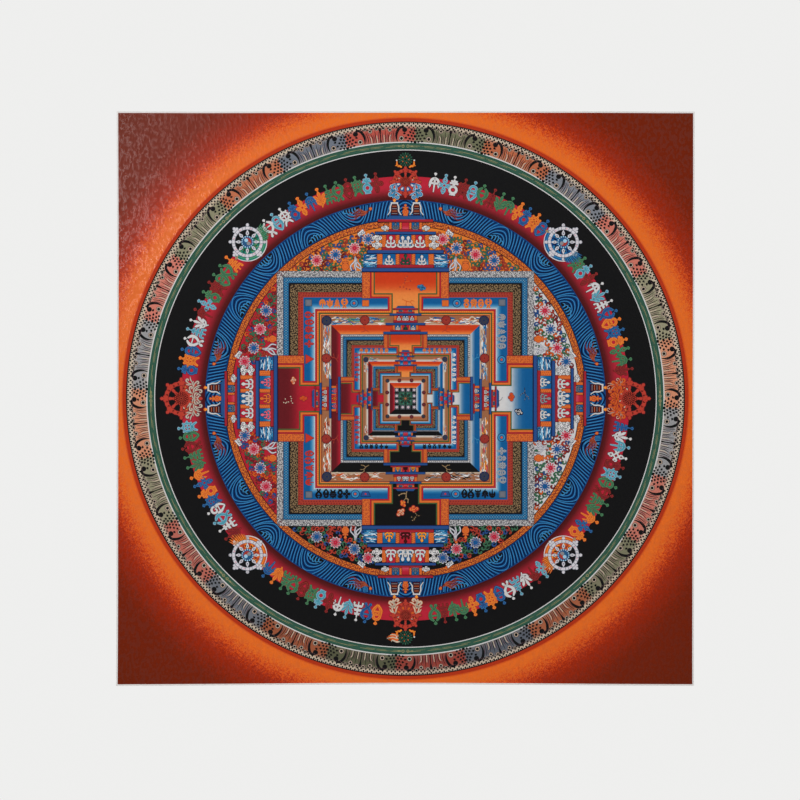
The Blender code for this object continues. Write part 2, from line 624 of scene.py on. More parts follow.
# How far a mask's middle values reach, and how dark and light they make the shaded paint, field and cotton
MOTTLE_REACH = (0.3, 0.7)
SHADE_MOTTLE = (0.96, 1.04)
FIELD_MOTTLE = (0.93, 1.07)
COTTON_MOTTLE = (0.90, 0.98)


def graded_material():
    """Paint whose colour is graded from point to point, held in the mesh's colour attribute."""
    if "graded_paint" in bpy.data.materials:
        return bpy.data.materials["graded_paint"]
    material, tree, shader, wear, _ = painted_material("graded_paint")
    shade = node(tree, "ShaderNodeAttribute", attribute_name="grade").outputs["Color"]
    tree.links.new(mottled(tree, wear.outputs["Mottle"], shade, *SHADE_MOTTLE), shader.inputs["Base Color"])
    return material


# The field's colours by radius: orange close to the rings, then red, then brown in the corners
FieldStop = namedtuple("FieldStop", "radius red green blue")
FIELD_STOPS = (
    FieldStop(371, 182, 52, 16),
    FieldStop(374, 218, 100, 33),
    FieldStop(384, 218, 103, 34),
    FieldStop(395, 208, 82, 27),
    FieldStop(402, 186, 59, 20),
    FieldStop(412, 152, 38, 9),
    FieldStop(450, 112, 30, 5),
    FieldStop(526, 101, 30, 6),
)
# Stipple that breaks the borders between them, in metres: the size of its dots, the furthest it reaches,
# and how much further it reaches with each metre outward
STIPPLE_DOT = 0.0011
STIPPLE_REACH = 0.019
STIPPLE_GROWTH = 1.6

# The field's varnish shines more than paint, and is smoother on top of the pebbles than between them
PEBBLE_SLOPE = (0.44, 0.56)
PEBBLE_TOP_ROUGHNESS = 0.12
PEBBLE_FOOT_ROUGHNESS = 0.46
FIELD_SHEEN = 0.18
FIELD_RELIEF = 1.3
FIELD_WEAVE = 0.05


def field_material():
    """The shaded field: a colour ramp by distance from the centre, its borders broken into fine stipple."""
    material, tree, shader, _, grain = painted_material(
        "shaded_field", level=FIELD_SHEEN, relief=FIELD_RELIEF, weave=FIELD_WEAVE
    )
    sizes = cloth()
    place = node(tree, "ShaderNodeTexCoord").outputs["Object"]
    centre = (-sizes.centre_across, 0.0, sizes.centre_down / sizes.squash)
    feeds = {"Vector": place, "Location": centre, "Scale": (1.0, 0.0, 1.0 / sizes.squash)}
    centred = node(tree, "ShaderNodeMapping", feeds).outputs["Vector"]
    radius = node(tree, "ShaderNodeVectorMath", {0: centred}, operation="LENGTH").outputs["Value"]
    flat = node(tree, "ShaderNodeMapping", {"Vector": place, "Scale": (1.0, 0.0, 1.0)}).outputs["Vector"]
    dots = node(tree, "ShaderNodeTexVoronoi", {"Vector": flat, "Scale": 1.0 / STIPPLE_DOT}).outputs["Color"]
    chance = node(tree, "ShaderNodeSeparateColor", {0: dots}).outputs["Red"]
    outward = maths(tree, "SUBTRACT", radius, FIELD_STOPS[1].radius * MM)
    growing = maths(tree, "MULTIPLY", outward, STIPPLE_GROWTH, clamp=True)
    reach = maths(tree, "MINIMUM", growing, STIPPLE_REACH)
    jitter = maths(tree, "MULTIPLY", maths(tree, "SUBTRACT", chance, 0.5), reach)
    first, last = FIELD_STOPS[0].radius, FIELD_STOPS[-1].radius
    share = ranged(tree, maths(tree, "ADD", radius, jitter), first * MM, last * MM, 0.0, 1.0)
    ramp = node(tree, "ShaderNodeValToRGB", {"Fac": share})
    stops = ramp.color_ramp.elements
    for stop in FIELD_STOPS[1:-1]:
        stops.new((stop.radius - first) / (last - first))
    for element, stop in zip(stops, FIELD_STOPS):
        element.color = (linear(stop.red), linear(stop.green), linear(stop.blue), 1.0)
    pebbles = grain.outputs["Pebbles"]
    colour = mottled(tree, pebbles, ramp.outputs["Color"], *FIELD_MOTTLE)
    tree.links.new(colour, shader.inputs["Base Color"])
    burnish = ranged(tree, pebbles, *PEBBLE_SLOPE, PEBBLE_FOOT_ROUGHNESS, PEBBLE_TOP_ROUGHNESS)
    tree.links.new(burnish, shader.inputs["Roughness"])
    return material


COTTON_ROUGHNESS = 0.8
COTTON_RELIEF = 1.3


def cotton_material():
    """Primed cotton: off-white, with its weave showing."""
    material, tree, shader, wear, _ = painted_material(
        "primed_cotton", roughness=COTTON_ROUGHNESS, relief=COTTON_RELIEF
    )
    base = node(tree, "ShaderNodeRGB").outputs[0]
    base.default_value = (*tint("white"), 1.0)
    tree.links.new(mottled(tree, wear.outputs["Mottle"], base, *COTTON_MOTTLE), shader.inputs["Base Color"])
    return material


# Meshes


def mesh_object(name, points, faces, slots=None, materials=(), uv=None):
    """A mesh from arrays. A face of three corners has -1 as its fourth."""
    triangles = faces[:, 3] < 0
    totals = np.where(triangles, 3, 4)
    corners = faces.ravel()
    corners = corners[corners >= 0]
    mesh = bpy.data.meshes.new(name)
    mesh.vertices.add(len(points))
    mesh.vertices.foreach_set("co", np.ascontiguousarray(points, dtype=np.float32).ravel())
    mesh.loops.add(len(corners))
    mesh.loops.foreach_set("vertex_index", corners.astype(np.int32))
    mesh.polygons.add(len(faces))
    starts = np.concatenate([[0], np.cumsum(totals)[:-1]])
    mesh.polygons.foreach_set("loop_start", starts.astype(np.int32))
    for material in materials:
        mesh.materials.append(material)
    if slots is not None:
        mesh.polygons.foreach_set("material_index", slots.astype(np.int32))
    mesh.update(calc_edges=True)
    if uv is not None:
        layer = mesh.uv_layers.new(name="OFBake")
        layer.data.foreach_set("uv", uv[corners].astype(np.float32).ravel())
    mesh.shade_smooth()
    made = bpy.data.objects.new(name, mesh)
    bpy.context.collection.objects.link(made)
    return made


SMALLEST_FACE = 1e-4


def painted_piece(name, motif, graded=False):
    """A motif laid on the cloth as one object, all its faces turned to the viewer."""
    points, coats, tints, faces, slots = motif.joined()
    corners = points[np.where(faces < 0, faces[:, [0]], faces)]
    x, y = corners[:, :, 0], corners[:, :, 1]
    area = 0.5 * np.sum(x * np.roll(y, -1, axis=1) - np.roll(x, -1, axis=1) * y, axis=1)
    quads = faces[:, 3] >= 0
    backward = area < 0
    flipped = faces.copy()
    flipped[backward & quads] = faces[backward & quads][:, [0, 3, 2, 1]]
    flipped[backward & ~quads] = faces[backward & ~quads][:, [0, 2, 1, 3]]
    keep = np.abs(area) > SMALLEST_FACE
    faces, slots = flipped[keep], slots[keep]
    used, compact = np.unique(faces[faces >= 0], return_inverse=True)
    renumbered = np.full(faces.shape, -1)
    renumbered[faces >= 0] = compact
    points, coats, tints = points[used], coats[used], tints[used]
    across, down = from_centre(points)
    sizes = cloth()
    uv = np.column_stack([across / sizes.width + 0.5, 1.0 - down / sizes.height])
    if graded:
        made = mesh_object(name, on_cloth(across, down, coats), renumbered, None, [graded_material()], uv)
        layer = made.data.color_attributes.new("grade", "FLOAT_COLOR", "POINT")
        colours = np.column_stack([tints, np.ones(len(tints))])
        layer.data.foreach_set("color", colours.astype(np.float32).ravel())
    else:
        palette = pigment_materials()
        present, slots = np.unique(slots, return_inverse=True)
        materials = [palette[slot] for slot in present]
        made = mesh_object(name, on_cloth(across, down, coats), renumbered, slots, materials, uv)
    finish_piece(made)
    return made


def finish_piece(made):
    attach(made, "root")


# The cloth and its field


def sheet_grid(cells, inset):
    """Distances across and down of a grid over the cloth, and its faces seen from the front."""
    share = np.linspace(0, 1, cells + 1)
    u, v = (grid.ravel() for grid in np.meshgrid(share, share))
    across, down = outline_point(u, v, inset)
    return across, down, grid_faces(cells, cells)[:, [0, 3, 2, 1]]


CLOTH_CELLS = 96


def make_cotton_cloth():
    """The whole sheet, closed all round: its front, its back and the cut edge between them."""
    across, down, front = sheet_grid(CLOTH_CELLS, 0.0)
    face = on_cloth(across, down, np.zeros(len(across)))
    behind = face + np.array([0.0, cloth().thickness, 0.0])
    count = len(face)
    side = CLOTH_CELLS + 1
    row = np.arange(CLOTH_CELLS)
    top, foot = row, row + CLOTH_CELLS * side
    left, right = row * side, row * side + CLOTH_CELLS
    edges = np.concatenate([
        np.column_stack([top + 1, top]),
        np.column_stack([foot, foot + 1]),
        np.column_stack([left, left + side]),
        np.column_stack([right + side, right]),
    ])
    rim = np.column_stack([edges[:, 1], edges[:, 0], edges[:, 0] + count, edges[:, 1] + count])
    faces = np.vstack([front, front[:, ::-1] + count, rim])
    sheet = mesh_object("cotton_cloth", np.vstack([face, behind]), faces, None, [cotton_material()])
    sheet.data.set_sharp_from_angle(angle=math.radians(60))
    finish_piece(sheet)
    return sheet


def make_field():
    sizes = cloth()
    across, down, faces = sheet_grid(CLOTH_CELLS, sizes.bare_edge)
    points = on_cloth(across, down, np.full(len(across), FIELD))
    uv = np.column_stack([across / sizes.width + 0.5, 1.0 - down / sizes.height])
    field = mesh_object("painted_field", points, faces, None, [field_material()], uv)
    finish_piece(field)
    return field


# The rings

# Half the width of the dark green lines, and of the other dark ones
GREEN_LINE = 0.6
DARK_LINE = 0.5
# The cream ground of the scroll ring ends this far inside the lace's tips
RIM_GAP = 0.6


@drawn
def flat_rings(art):
    """The plain rings, from the dark red line to the orange ring."""
    sizes = rings()
    bands = (
        (sizes.lace_outer - 0.4, sizes.field_edge, "madder"),
        (sizes.green_outer, sizes.scroll_inner, "chalk"),
        (sizes.green_inner, sizes.green_outer, "ring_green"),
        (sizes.black_outer, sizes.green_inner, "chalk"),
        (sizes.black_inner, sizes.black_outer, "black"),
        (sizes.garden_outer, sizes.water_inner, "ring_orange"),
    )
    for inner, outer, name in bands:
        art.ring(inner, outer, name, GROUND, rows=max(1, round((outer - inner) / CELL)), step=1.0)
    art.ring(sizes.lace_outer - 1.0, sizes.lace_outer + 0.4, "ink", BAND, step=1.0)
    lines = (
        (sizes.green_outer - GREEN_LINE, GREEN_LINE, "dark_green"),
        (sizes.green_inner + GREEN_LINE, GREEN_LINE, "dark_green"),
        (sizes.water_inner - 0.3, DARK_LINE, "ink"),
        (sizes.garden_outer + 0.4, DARK_LINE, "ink"),
    )
    for middle, half, name in lines:
        art.ring(middle - half, middle + half, name, BAND, step=1.0)


@drawn
def crimson_ring(art):
    """The ring of fire's ground, shaded from wine at the water to crimson outside."""
    sizes = rings()
    stops = (
        (0.0, tint("wine")),
        (0.16, tint("wine", "maroon", 0.4)),
        (0.36, tint("maroon", "crimson", 0.45)),
        (0.56, tint("crimson", "rose", 0.22)),
        (1.0, tint("crimson", "rose", 0.10)),
    )
    art.ring(sizes.water_outer, sizes.black_inner, stops, GROUND, step=1.0)


# The scroll ring's stretches: how many there are, where the first starts, and their colours by turns
SEGMENTS = 24
SEGMENT_DEGREES = 360 / SEGMENTS
SEGMENT_START = 2.1
SEGMENT_DYES = ("olive", "clay", "slate", "salmon")
SCROLL_RADIUS = 350.0
SCROLL_ROWS = 12
SCROLL_COLUMNS = 26
RAGGED_EDGE = 1.3
LACE_POINTS = 17
COMMA_HEAD = 31.0
# The ring's colours carry a painted sheen that makes them paler and brighter at the cloth's two sides, and
# a painted shade that makes them deeper towards its foot
PAINTED_SHEEN_PALENESS = 0.32
PAINTED_SHEEN_BRIGHTNESS = 0.30
PAINTED_FOOT_SHADE = 0.36


def scroll_half():
    """Half the length of one stretch of the scroll ring, along its middle line."""
    return math.radians(SEGMENT_DEGREES) * SCROLL_RADIUS / 2


@drawn
def scroll_ground(art, dye, turn):
    """One stretch of the scroll ring's colour, for its place round the ring: pale at the green ring, cream
    again under the lace, with a painted sheen at the cloth's sides and a painted shade towards its foot,
    and with a ragged border at both ends."""
    sizes = rings()
    low, high = sizes.scroll_inner - SCROLL_RADIUS, sizes.lace_inner + 3.6 - SCROLL_RADIUS
    ragged = np.where(np.arange(SCROLL_ROWS + 1) % 2 == 0, RAGGED_EDGE, -RAGGED_EDGE)[:, None]
    share = np.linspace(-1, 1, SCROLL_COLUMNS + 1)[None, :]
    x = share * scroll_half() + ragged * np.abs(share) ** 6
    y = np.repeat(np.linspace(low, high, SCROLL_ROWS + 1), SCROLL_COLUMNS + 1)
    # Painted sheen and shade: side is 1 at the cloth's two sides, foot grows to 1 at its foot, and light is
    # the painted brightening and darkening they give
    side = math.sin(math.radians(turn)) ** 2
    foot = max(0.0, -math.cos(math.radians(turn)))
    light = 1.0 + PAINTED_SHEEN_BRIGHTNESS * side - PAINTED_FOOT_SHADE * foot

    # A pigment mixed with cream, made paler at the sides by the painted sheen and scaled by the painted
    # light and shade
    def cream_mix_and_painted_sheen(share):
        return tint(dye, "cream", share + (1.0 - share) * PAINTED_SHEEN_PALENESS * side) * light

    bare = cream_mix_and_painted_sheen(0.0)
    stops = ((0.0, cream_mix_and_painted_sheen(0.30)), (0.30, bare), (0.72, bare), (0.95, cream_mix_and_painted_sheen(0.65)), (1.0, tint("cream")))
    tints = graded_tints(stops, np.linspace(0, 1, SCROLL_ROWS + 1))
    tints = np.repeat(tints, SCROLL_COLUMNS + 1, axis=0)
    art.patch(np.column_stack([x.ravel(), y]), grid_faces(SCROLL_ROWS, SCROLL_COLUMNS), tints, BAND)


# Black teardrops at a stretch's end: distance from the end, height over the ring's middle line, and turn
Tear = namedtuple("Tear", "x y turn")
TEARS = (
    Tear(1.6, -7.4, 20), Tear(6.6, -8.0, 60), Tear(11.6, -8.0, 80), Tear(4.0, -3.8, 35),
    Tear(9.2, -4.4, 70), Tear(14.6, -4.6, 100), Tear(1.4, 0.2, 15), Tear(6.4, 0.0, 50),
    Tear(11.4, -0.2, 80), Tear(3.6, 4.2, 25), Tear(8.4, 4.4, 60), Tear(1.4, 8.0, 10), Tear(6.2, 8.4, 35),
    Tear(16.4, 0.8, 110),
)
# Fine lines between a stretch's middle and its comma: foot, head and width
Fine = namedtuple("Fine", "foot head top width dye")
FINES = (
    Fine(2.6, 2.2, 5.0, 1.0, "mauve"), Fine(4.6, 4.8, 1.0, 0.9, "cream"), Fine(6.0, 7.0, 6.8, 1.0, "ink"),
    Fine(8.2, 9.6, 2.4, 1.0, "mauve"), Fine(10.2, 12.6, 3.4, 1.0, "ink"),
    Fine(12.2, 15.4, 1.4, 0.9, "cream"), Fine(13.6, 16.6, 5.4, 1.0, "mauve"),
    Fine(16.4, 18.6, 7.0, 1.0, "ink"), Fine(18.8, 19.8, 5.4, 0.9, "mauve"),
)
# Small eyes of a stretch: place, size of the ring and of the dot
Eye = namedtuple("Eye", "x y ring dot")
EYES = (
    Eye(27.6, -5.0, 3.1, 2.1), Eye(4.2, 9.6, 2.3, 1.5), Eye(12.8, 7.0, 2.5, 1.6), Eye(19.0, 10.6, 2.2, 1.5)
)


@drawn
def half_segment(art):
    """Half of a stretch's brushwork, to the right of its middle: comma scroll, eyes, lines and tears."""
    comma = curve([(32.4, 8.0), (28.4, 10.2), (24.4, 7.8), (21.8, 2.8), (21.0, -3.0), (21.9, -9.2)], 24)
    art.brush(comma, 3.6, 0.75, 0.14, "black", DETAIL, 0.5)
    art.disc((32.0, 6.6), 3.3, "black", DETAIL, 14)
    for fine in FINES:
        line = curve([(fine.foot, -9.0), (fine.foot + 0.2, -2.0), (fine.head, fine.top)], 7)
        art.brush(line, fine.width, 0.8, 0.3, fine.dye, DETAIL)
    for eye in EYES:
        art.disc((eye.x, eye.y), eye.ring + 0.4, "mauve", DETAIL, 12)
        art.disc((eye.x, eye.y), eye.ring - 0.2, "cream", DETAIL + 1, 10)
        art.disc((eye.x, eye.y), eye.dot, "black", DETAIL + 2, 9)
    for tear in TEARS:
        art.drop((scroll_half() - tear.x, tear.y), 4.0, 3.0, 180 - tear.turn, "black", DETAIL, 6)


@drawn
def lace_stretch(art):
    """The lace edge over one stretch: three staggered rows of drops, the outermost on the rim."""
    rim = rings().lace_outer - RIM_GAP - SCROLL_RADIUS
    pitch = 2 * scroll_half() / LACE_POINTS
    chance = np.random.default_rng(7)
    for index in range(LACE_POINTS):
        x = (index + 0.5) * pitch - scroll_half()
        lean = chance.uniform(-14, 14, 4)
        art.drop((x, rim + 0.2), 3.2, 2.5, 180 + lean[0], "black", DETAIL + 1, 6)
        art.drop((x + pitch / 2, rim + 0.2), 1.8, 1.6, 180, "ink", DETAIL + 1, 5)
        art.drop((x + pitch / 2, rim - 2.6), 3.4, 2.4, 180 + lean[1], "black", DETAIL + 1, 6)
        if abs(abs(x) - COMMA_HEAD) > pitch * 0.7:
            art.drop((x, rim - 5.2), 3.0, 2.1, 180 + lean[2], "black", DETAIL + 1, 6)
        for side in (-1, 1):
            art.disc((x + side * pitch * 0.26, rim - 7.6 + lean[3] * 0.03), 0.7, "mauve", DETAIL + 1, 5)


def segment_turn(index):
    return SEGMENT_START + (index + 0.5) * SEGMENT_DEGREES


@drawn
def scroll_shades(art):
    """The scroll ring's coloured stretches, each bent round from a straight one."""
    for index in range(SEGMENTS):
        turn = segment_turn(index)
        stretch = scroll_ground(SEGMENT_DYES[index % len(SEGMENT_DYES)], turn)
        art.stamp(stretch.bent(SCROLL_RADIUS), turn=turn)


@drawn
def scroll_ring(art):
    """The scroll ring's cream ground, its black brushwork and its lace edge."""
    sizes = rings()
    art.ring(sizes.scroll_inner, sizes.lace_outer - RIM_GAP, "cream", GROUND, rows=3)
    work = Motif()
    half = half_segment()
    work.stamp(half)
    work.stamp(half, mirror=True)
    stem = [(0, 9.9), (0, 6.6), (0, 2.0), (0, -4.0), (0, -9.2)]
    work.stroke(stem, [4.4, 2.8, 1.4, 1.3, 2.4], "black", DETAIL)
    for side in (-1, 1):
        work.stroke(curve([(0, 7.0), (side * 2.2, 10.4), (side * 1.2, 13.6)], 6), 1.1, "black", DETAIL)
    work.stamp(lace_stretch())
    work = work.bent(SCROLL_RADIUS)
    for index in range(SEGMENTS):
        art.stamp(work, turn=segment_turn(index))


GREEN_DASHES = 96


@drawn
def green_threads(art):
    """A gold thread of long dashes along the green ring, with a small knot at each quarter."""
    sizes = rings()
    middle = (sizes.green_outer + sizes.green_inner) / 2
    for index in range(GREEN_DASHES):
        start = index * 360 / GREEN_DASHES
        for radius, length, width in ((middle + 0.5, 3.4, 0.75), (middle - 0.9, 2.2, 0.5)):
            shift = 0.9 * math.sin(index * 1.7 + radius)
            line = arc((0, 0), radius, start + shift, start + shift + length, 5)
            art.brush(line, width, 0.4, 0.4, "old_gold", FORM)
    for quarter in range(8):
        centre = polar(quarter * 45, middle)
        knot = Motif()
        for x in (-3.2, 3.2):
            knot.hoop((x, 0), 1.6, 0.9, "old_gold", DETAIL, 8)
            knot.drop((x * 1.7, 0), 5.2, 2.0, 90 if x > 0 else -90, "old_gold", DETAIL, 5)
        art.stamp(knot, centre, quarter * 45)


# The ring of water

# Eddies stand by turns on both banks: the radius of their dark cores, and how softly one gives way to
# the next
EDDIES = 24
EDDY_CORE = 8.6
EDDY_BLEND = 6.0
# Streams are lines of equal height: the height between two of them, and the steps that trace them each way
STREAM_LEVELS = 0.66
STREAM_STEP = 2.0
STREAM_STEPS = 44
# Widths of the light lines and of the dark ones between them
WAVE_CREST = 1.0
WAVE_GAP = 1.45
# The eddies lie this far inside their bank, and the streams stop this far from it
EDDY_SET = 1.5
BANK_GAP = 0.5
# Above the height of any stream, so that a line of seeds goes on to its eddy
HEIGHT_LIMIT = 9.0


def eddy_centres():
    """Eddies by turns on the inner and the outer bank of the water."""
    sizes = rings()
    banks = ([], [])
    for index in range(EDDIES):
        angle = index * 360 / EDDIES + 0.9 * math.sin(index * 2.1)
        reach = sizes.water_outer - EDDY_SET if index % 2 else sizes.water_inner + EDDY_SET
        banks[index % 2].append(polar(angle, reach))
    return [np.array(bank) for bank in banks]


def bank_pull(points, centres):
    """How far a bank's eddies are, as a smooth height and its slope."""
    away = points[:, None, :] - centres[None, :, :]
    distance = np.maximum(np.linalg.norm(away, axis=2), 1e-6)
    weight = np.exp(-(distance - distance.min(axis=1, keepdims=True)) / EDDY_BLEND)
    weight /= weight.sum(axis=1, keepdims=True)
    height = (weight * np.sqrt(distance)).sum(axis=1)
    slope = ((weight * 0.5 / distance ** 1.5)[:, :, None] * away).sum(axis=1)
    return height, slope


def stream_height(points, banks):
    first, second = (bank_pull(points, bank) for bank in banks)
    return first[0] - second[0], first[1] - second[1]


def streams(seeds, banks, inner, outer):
    """Lines of equal height through the seeds, traced both ways to the banks."""
    halves = []
    for way in (-1, 1):
        line = [seeds]
        for _ in range(STREAM_STEPS):
            _, slope = stream_height(line[-1], banks)
            along = np.column_stack([-slope[:, 1], slope[:, 0]])
            along /= np.linalg.norm(along, axis=1, keepdims=True)
            line.append(line[-1] + way * STREAM_STEP * along)
        halves.append(np.array(line))
    whole = np.concatenate([halves[0][::-1], halves[1][1:]])
    made = []
    for index in range(len(seeds)):
        line = whole[:, index]
        radius = np.linalg.norm(line, axis=1)
        beyond = np.flatnonzero((radius < inner) | (radius > outer))
        low = beyond[beyond < STREAM_STEPS].max(initial=-1) + 1
        high = beyond[beyond > STREAM_STEPS].min(initial=len(line))
        if high - low > 2:
            made.append(line[low:high])
    return made


def stream_seeds(start, end, banks, low, high, shift):
    """Points on a line where the stream's height passes each of its levels, shifted by a share of their
    distance, between two heights."""
    share = np.linspace(0, 1, 160)[:, None]
    points = np.asarray(start) * (1 - share) + np.asarray(end) * share
    height, _ = stream_height(points, banks)
    order = np.argsort(height)
    counts = np.arange(math.floor(low / STREAM_LEVELS), math.ceil(high / STREAM_LEVELS) + 1)
    levels = (counts + shift) * STREAM_LEVELS
    levels = levels[(levels > max(low, height.min())) & (levels < min(high, height.max()))]
    return np.column_stack([np.interp(levels, height[order], points[order, k]) for k in (0, 1)])


@drawn
def eddy(art):
    """The dark core of an eddy, with short waves that curl over along the bank. Its bank lies along x."""
    dome = arc((0, 0), EDDY_CORE, -90, 90, 14) * (1.25, 1.0)
    art.blot(np.vstack([dome, [(0, 0)]]), "black", FORM + 1)
    for index, tall in enumerate((4.6, 7.0, 8.2, 7.0, 4.8)):
        foot = -6.4 + 3.9 * index
        bend = [(foot + 1.4, 0.2), (foot + 1.8, tall * 0.6), (foot - 0.4, tall), (foot - 3.0, tall * 0.66)]
        art.brush(curve(bend, 9), 1.5, 0.8, 0.3, "crest", FORM + 2)


@drawn
def water_ring(art):
    """Streams that wind round eddies on either bank: blue, with light and dark lines by turns."""
    sizes = rings()
    inner, outer = sizes.water_inner, sizes.water_outer
    banks = eddy_centres()
    art.ring(inner, outer, "stream", GROUND, rows=3)
    whirl = eddy()
    turned_whirl = Motif()
    turned_whirl.stamp(whirl, turn=180)
    for index in range(EDDIES):
        here = banks[index % 2][index // 2]
        art.stamp((whirl, turned_whirl)[index % 2], here, index * 360 / EDDIES)
    for shift, dye, width, coat in ((0.0, "crest", WAVE_CREST, FORM), (0.5, "deep_water", WAVE_GAP, BAND)):
        seeds = []
        for index in range(EDDIES):
            outside = index % 2 == 1
            here = banks[index % 2][index // 2]
            after = banks[(index + 1) % 2][(index + 1) // 2 % (EDDIES // 2)]
            way = here / np.linalg.norm(here)
            edge = way * (inner + BANK_GAP if outside else outer - BANK_GAP)
            height = stream_height(np.array([edge]), banks)[0][0]
            first, second = (after, here) if outside else (here, after)
            seeds.append(stream_seeds(first, second, banks, -abs(height), abs(height), shift))
            low, high = (height, HEIGHT_LIMIT) if outside else (-HEIGHT_LIMIT, height)
            core = here + way * (-1 if outside else 1) * EDDY_CORE
            seeds.append(stream_seeds(core, edge, banks, low, high, shift))
        for line in streams(np.vstack(seeds), banks, inner + BANK_GAP, outer - BANK_GAP):
            art.brush(line, width, 0.6, 0.6, dye, coat)


# Small motifs that several places share


@drawn
def curl(art, reach, width, dye, coat, turns):
    """A comma-shaped leaf: a spiral with a dark outline and a knob at its inner end."""
    line = swirl((0, 0), reach, reach * 0.3, 200, 360 * turns, 12)
    art.brush(line, width + 0.9, 0.2, 0.9, "ink", coat, 0.8)
    art.brush(line, width, 0.1, 0.9, dye, coat + 1, 0.8)
    art.disc(line[-1], width * 0.56, dye, coat + 1, 7)


@drawn
def blossom(art, radius, dye, heart, coat):
    """A flower of ten narrow petals seen from above, each edged with white."""
    art.disc((0, 0), radius * 0.50, dye, coat, 14)
    for turn in range(0, 360, 36):
        art.drop(polar(turn, radius * 0.26), radius * 0.80, radius * 0.40, turn, "chalk", coat + 1, 8)
        art.drop(polar(turn, radius * 0.28), radius * 0.66, radius * 0.26, turn, dye, coat + 2, 7)
    art.disc((0, 0), radius * 0.36, heart, coat + 3, 12)
    art.disc((0, 0), radius * 0.16, dye, coat + 4, 8)


@drawn
def hooks(art, start, end, low, high, pitch, width, dye, coat, mitre=False):
    """Small curled brush strokes scattered over a run along x between two heights. On a mitred band, they
    keep to the band's own side of the diagonals."""
    chance = np.random.default_rng(round(pitch * 100 + width * 1000))
    units = []
    for sweep in (190, 280):
        unit = Motif()
        line = swirl((0, 0), pitch * 0.46, pitch * 0.26, 0, sweep, 6)
        unit.brush(line, width, 0.5, 0.6, dye, coat)
        units.append(unit)
    rows = max(1, round((high - low) / pitch))
    columns = max(1, round((end - start) / pitch))
    for row in range(rows):
        for column in range(columns):
            jitter = chance.uniform(-0.22, 0.22, 2)
            x = start + (column + 0.5 + jitter[0]) * (end - start) / columns
            y = low + (row + 0.5 + jitter[1] * 0.5) * (high - low) / rows
            if mitre and abs(x) > y - pitch * 0.35:
                continue
            turn, flip = chance.uniform(0, 360), chance.random() < 0.5
            art.stamp(units[(row + column) % 2], (x, y), turn, mirror=flip)


@drawn
def wash(art, span, tall, dyes, seed):
    """A run of soft brush strokes along x in mixed pigments, like drifting cloud."""
    chance = np.random.default_rng(seed)
    for index in range(round(span * tall * 0.1)):
        x, y = chance.uniform(-0.5, 0.5) * span, chance.uniform(-0.38, 0.38) * tall
        reach, lift = chance.uniform(2.4, 5.4), chance.uniform(-2.4, 2.4)
        line = curve([(x - reach, y - lift * 0.5), (x, y + lift * 0.6), (x + reach, y - lift * 0.2)], 6)
        width = swelling(7, chance.uniform(0.9, 2.0), 0.2, 0.2)
        art.stroke(line, width, dyes[index % len(dyes)], FORM + 0.2 * (index % 5))


@drawn
def cloud(art, dye, light, edge, coat):
    """A bank of four curling clouds, 14 mm wide."""
    puffs = ((-4.4, 0.2, 2.8), (-0.4, 2.0, 3.4), (4.2, 0.6, 2.8), (0.6, -2.4, 2.6))
    for x, y, radius in puffs:
        art.disc((x, y), radius + 0.7, edge, coat, 12)
    for x, y, radius in puffs:
        art.disc((x, y), radius, dye, coat + 1, 12)
        art.stroke(swirl((x, y), radius * 0.78, radius * 0.2, 60 * x, 320, 9), 1.0, light, coat + 2)


TWIGS = (((-8, -5), (-2, -1), (2, 3), (9, 4)), ((-2, -1), (2, -4), (7, -5)), ((2, 3), (1, 6), (4, 9)))


@drawn
def sprig(art, dye, bud, coat):
    """A bare branch that forks twice, set with small buds, 18 mm wide."""
    for points in TWIGS:
        line = curve(points, 9)
        art.brush(line, 1.0, 0.8, 0.4, dye, coat)
        for spot in line[2::3]:
            art.disc(spot, 0.9, bud, coat + 1, 6)


# The middle line of an upturned leaf: share of its reach, and height over its foot
LEAF = ((0.0, 0.0), (0.55, -0.02), (1.0, 0.10), (0.86, 0.26))


@drawn
def bouquet(art, tall, dye, edge, coat):
    """A bud over two pairs of upturned leaves, within a dark edge. It stands on y = 0."""
    for grow, paint, lift in ((0.6, edge, 0), (0.0, dye, 1)):
        art.drop((0, tall * 0.50), tall * 0.48 + grow, tall * 0.28 + 2 * grow, 0, paint, coat + lift, 8)
        art.stroke([(0, 0), (0, tall * 0.6)], tall * 0.11 + 2 * grow, paint, coat + lift)
        for side in (-1, 1):
            for foot, reach in ((0.36, 0.30), (0.06, 0.40)):
                leaf = [(share * reach, foot + rise) for share, rise in LEAF]
                line = curve([(side * x * tall, y * tall) for x, y in leaf], 8)
                art.brush(line, tall * 0.14 + 2 * grow, 0.7, 0.6, paint, coat + lift, 0.6)


# Eight old emblems. Each is drawn in bold strokes of one pigment with openings between them, 13 mm wide,
# from y = -3.5 at its foot to 17 at its head, and can be drawn broader or finer to edge itself


@drawn
def parasol(art, dye, coat, broad=0.0):
    """A domed parasol on its pole, with two tassels."""
    art.stroke(arc((0, 8.8), 4.9, -90, 90, 12), 3.2 + 2 * broad, dye, coat)
    art.slab(6.8, 6.4, 9.0, dye, coat, broad)
    for side in (-1, 1):
        art.drop((side * 5.4, 1.0 - broad), 6.6 + broad, 3.0 + 2 * broad, 0, dye, coat, 7)
    pole = [(0, 15.6 + broad), (0, 8.0), (0, -3.5 - broad)]
    art.stroke(pole, [2.0 + 2 * broad, 2.6 + 2 * broad, 1.2 + broad], dye, coat)


@drawn
def fishes(art, dye, coat, broad=0.0):
    """Two fishes whose bodies bow apart and whose tails cross."""
    for side in (-1, 1):
        body = curve([(side * 1.4, 16.6), (side * 5.2, 12.0), (side * 4.4, 5.8), (side * -2.6, -0.6)], 12)
        art.brush(body, 4.2, 0.3, 0.4, dye, coat, 0.4, grow=broad)
        art.drop((side * 1.4, 1.4), 6.2 + broad, 3.4 + 2 * broad, side * 160, dye, coat, 6)
    art.slab(4.2, 9.2 - broad, 10.8 + broad, dye, coat)


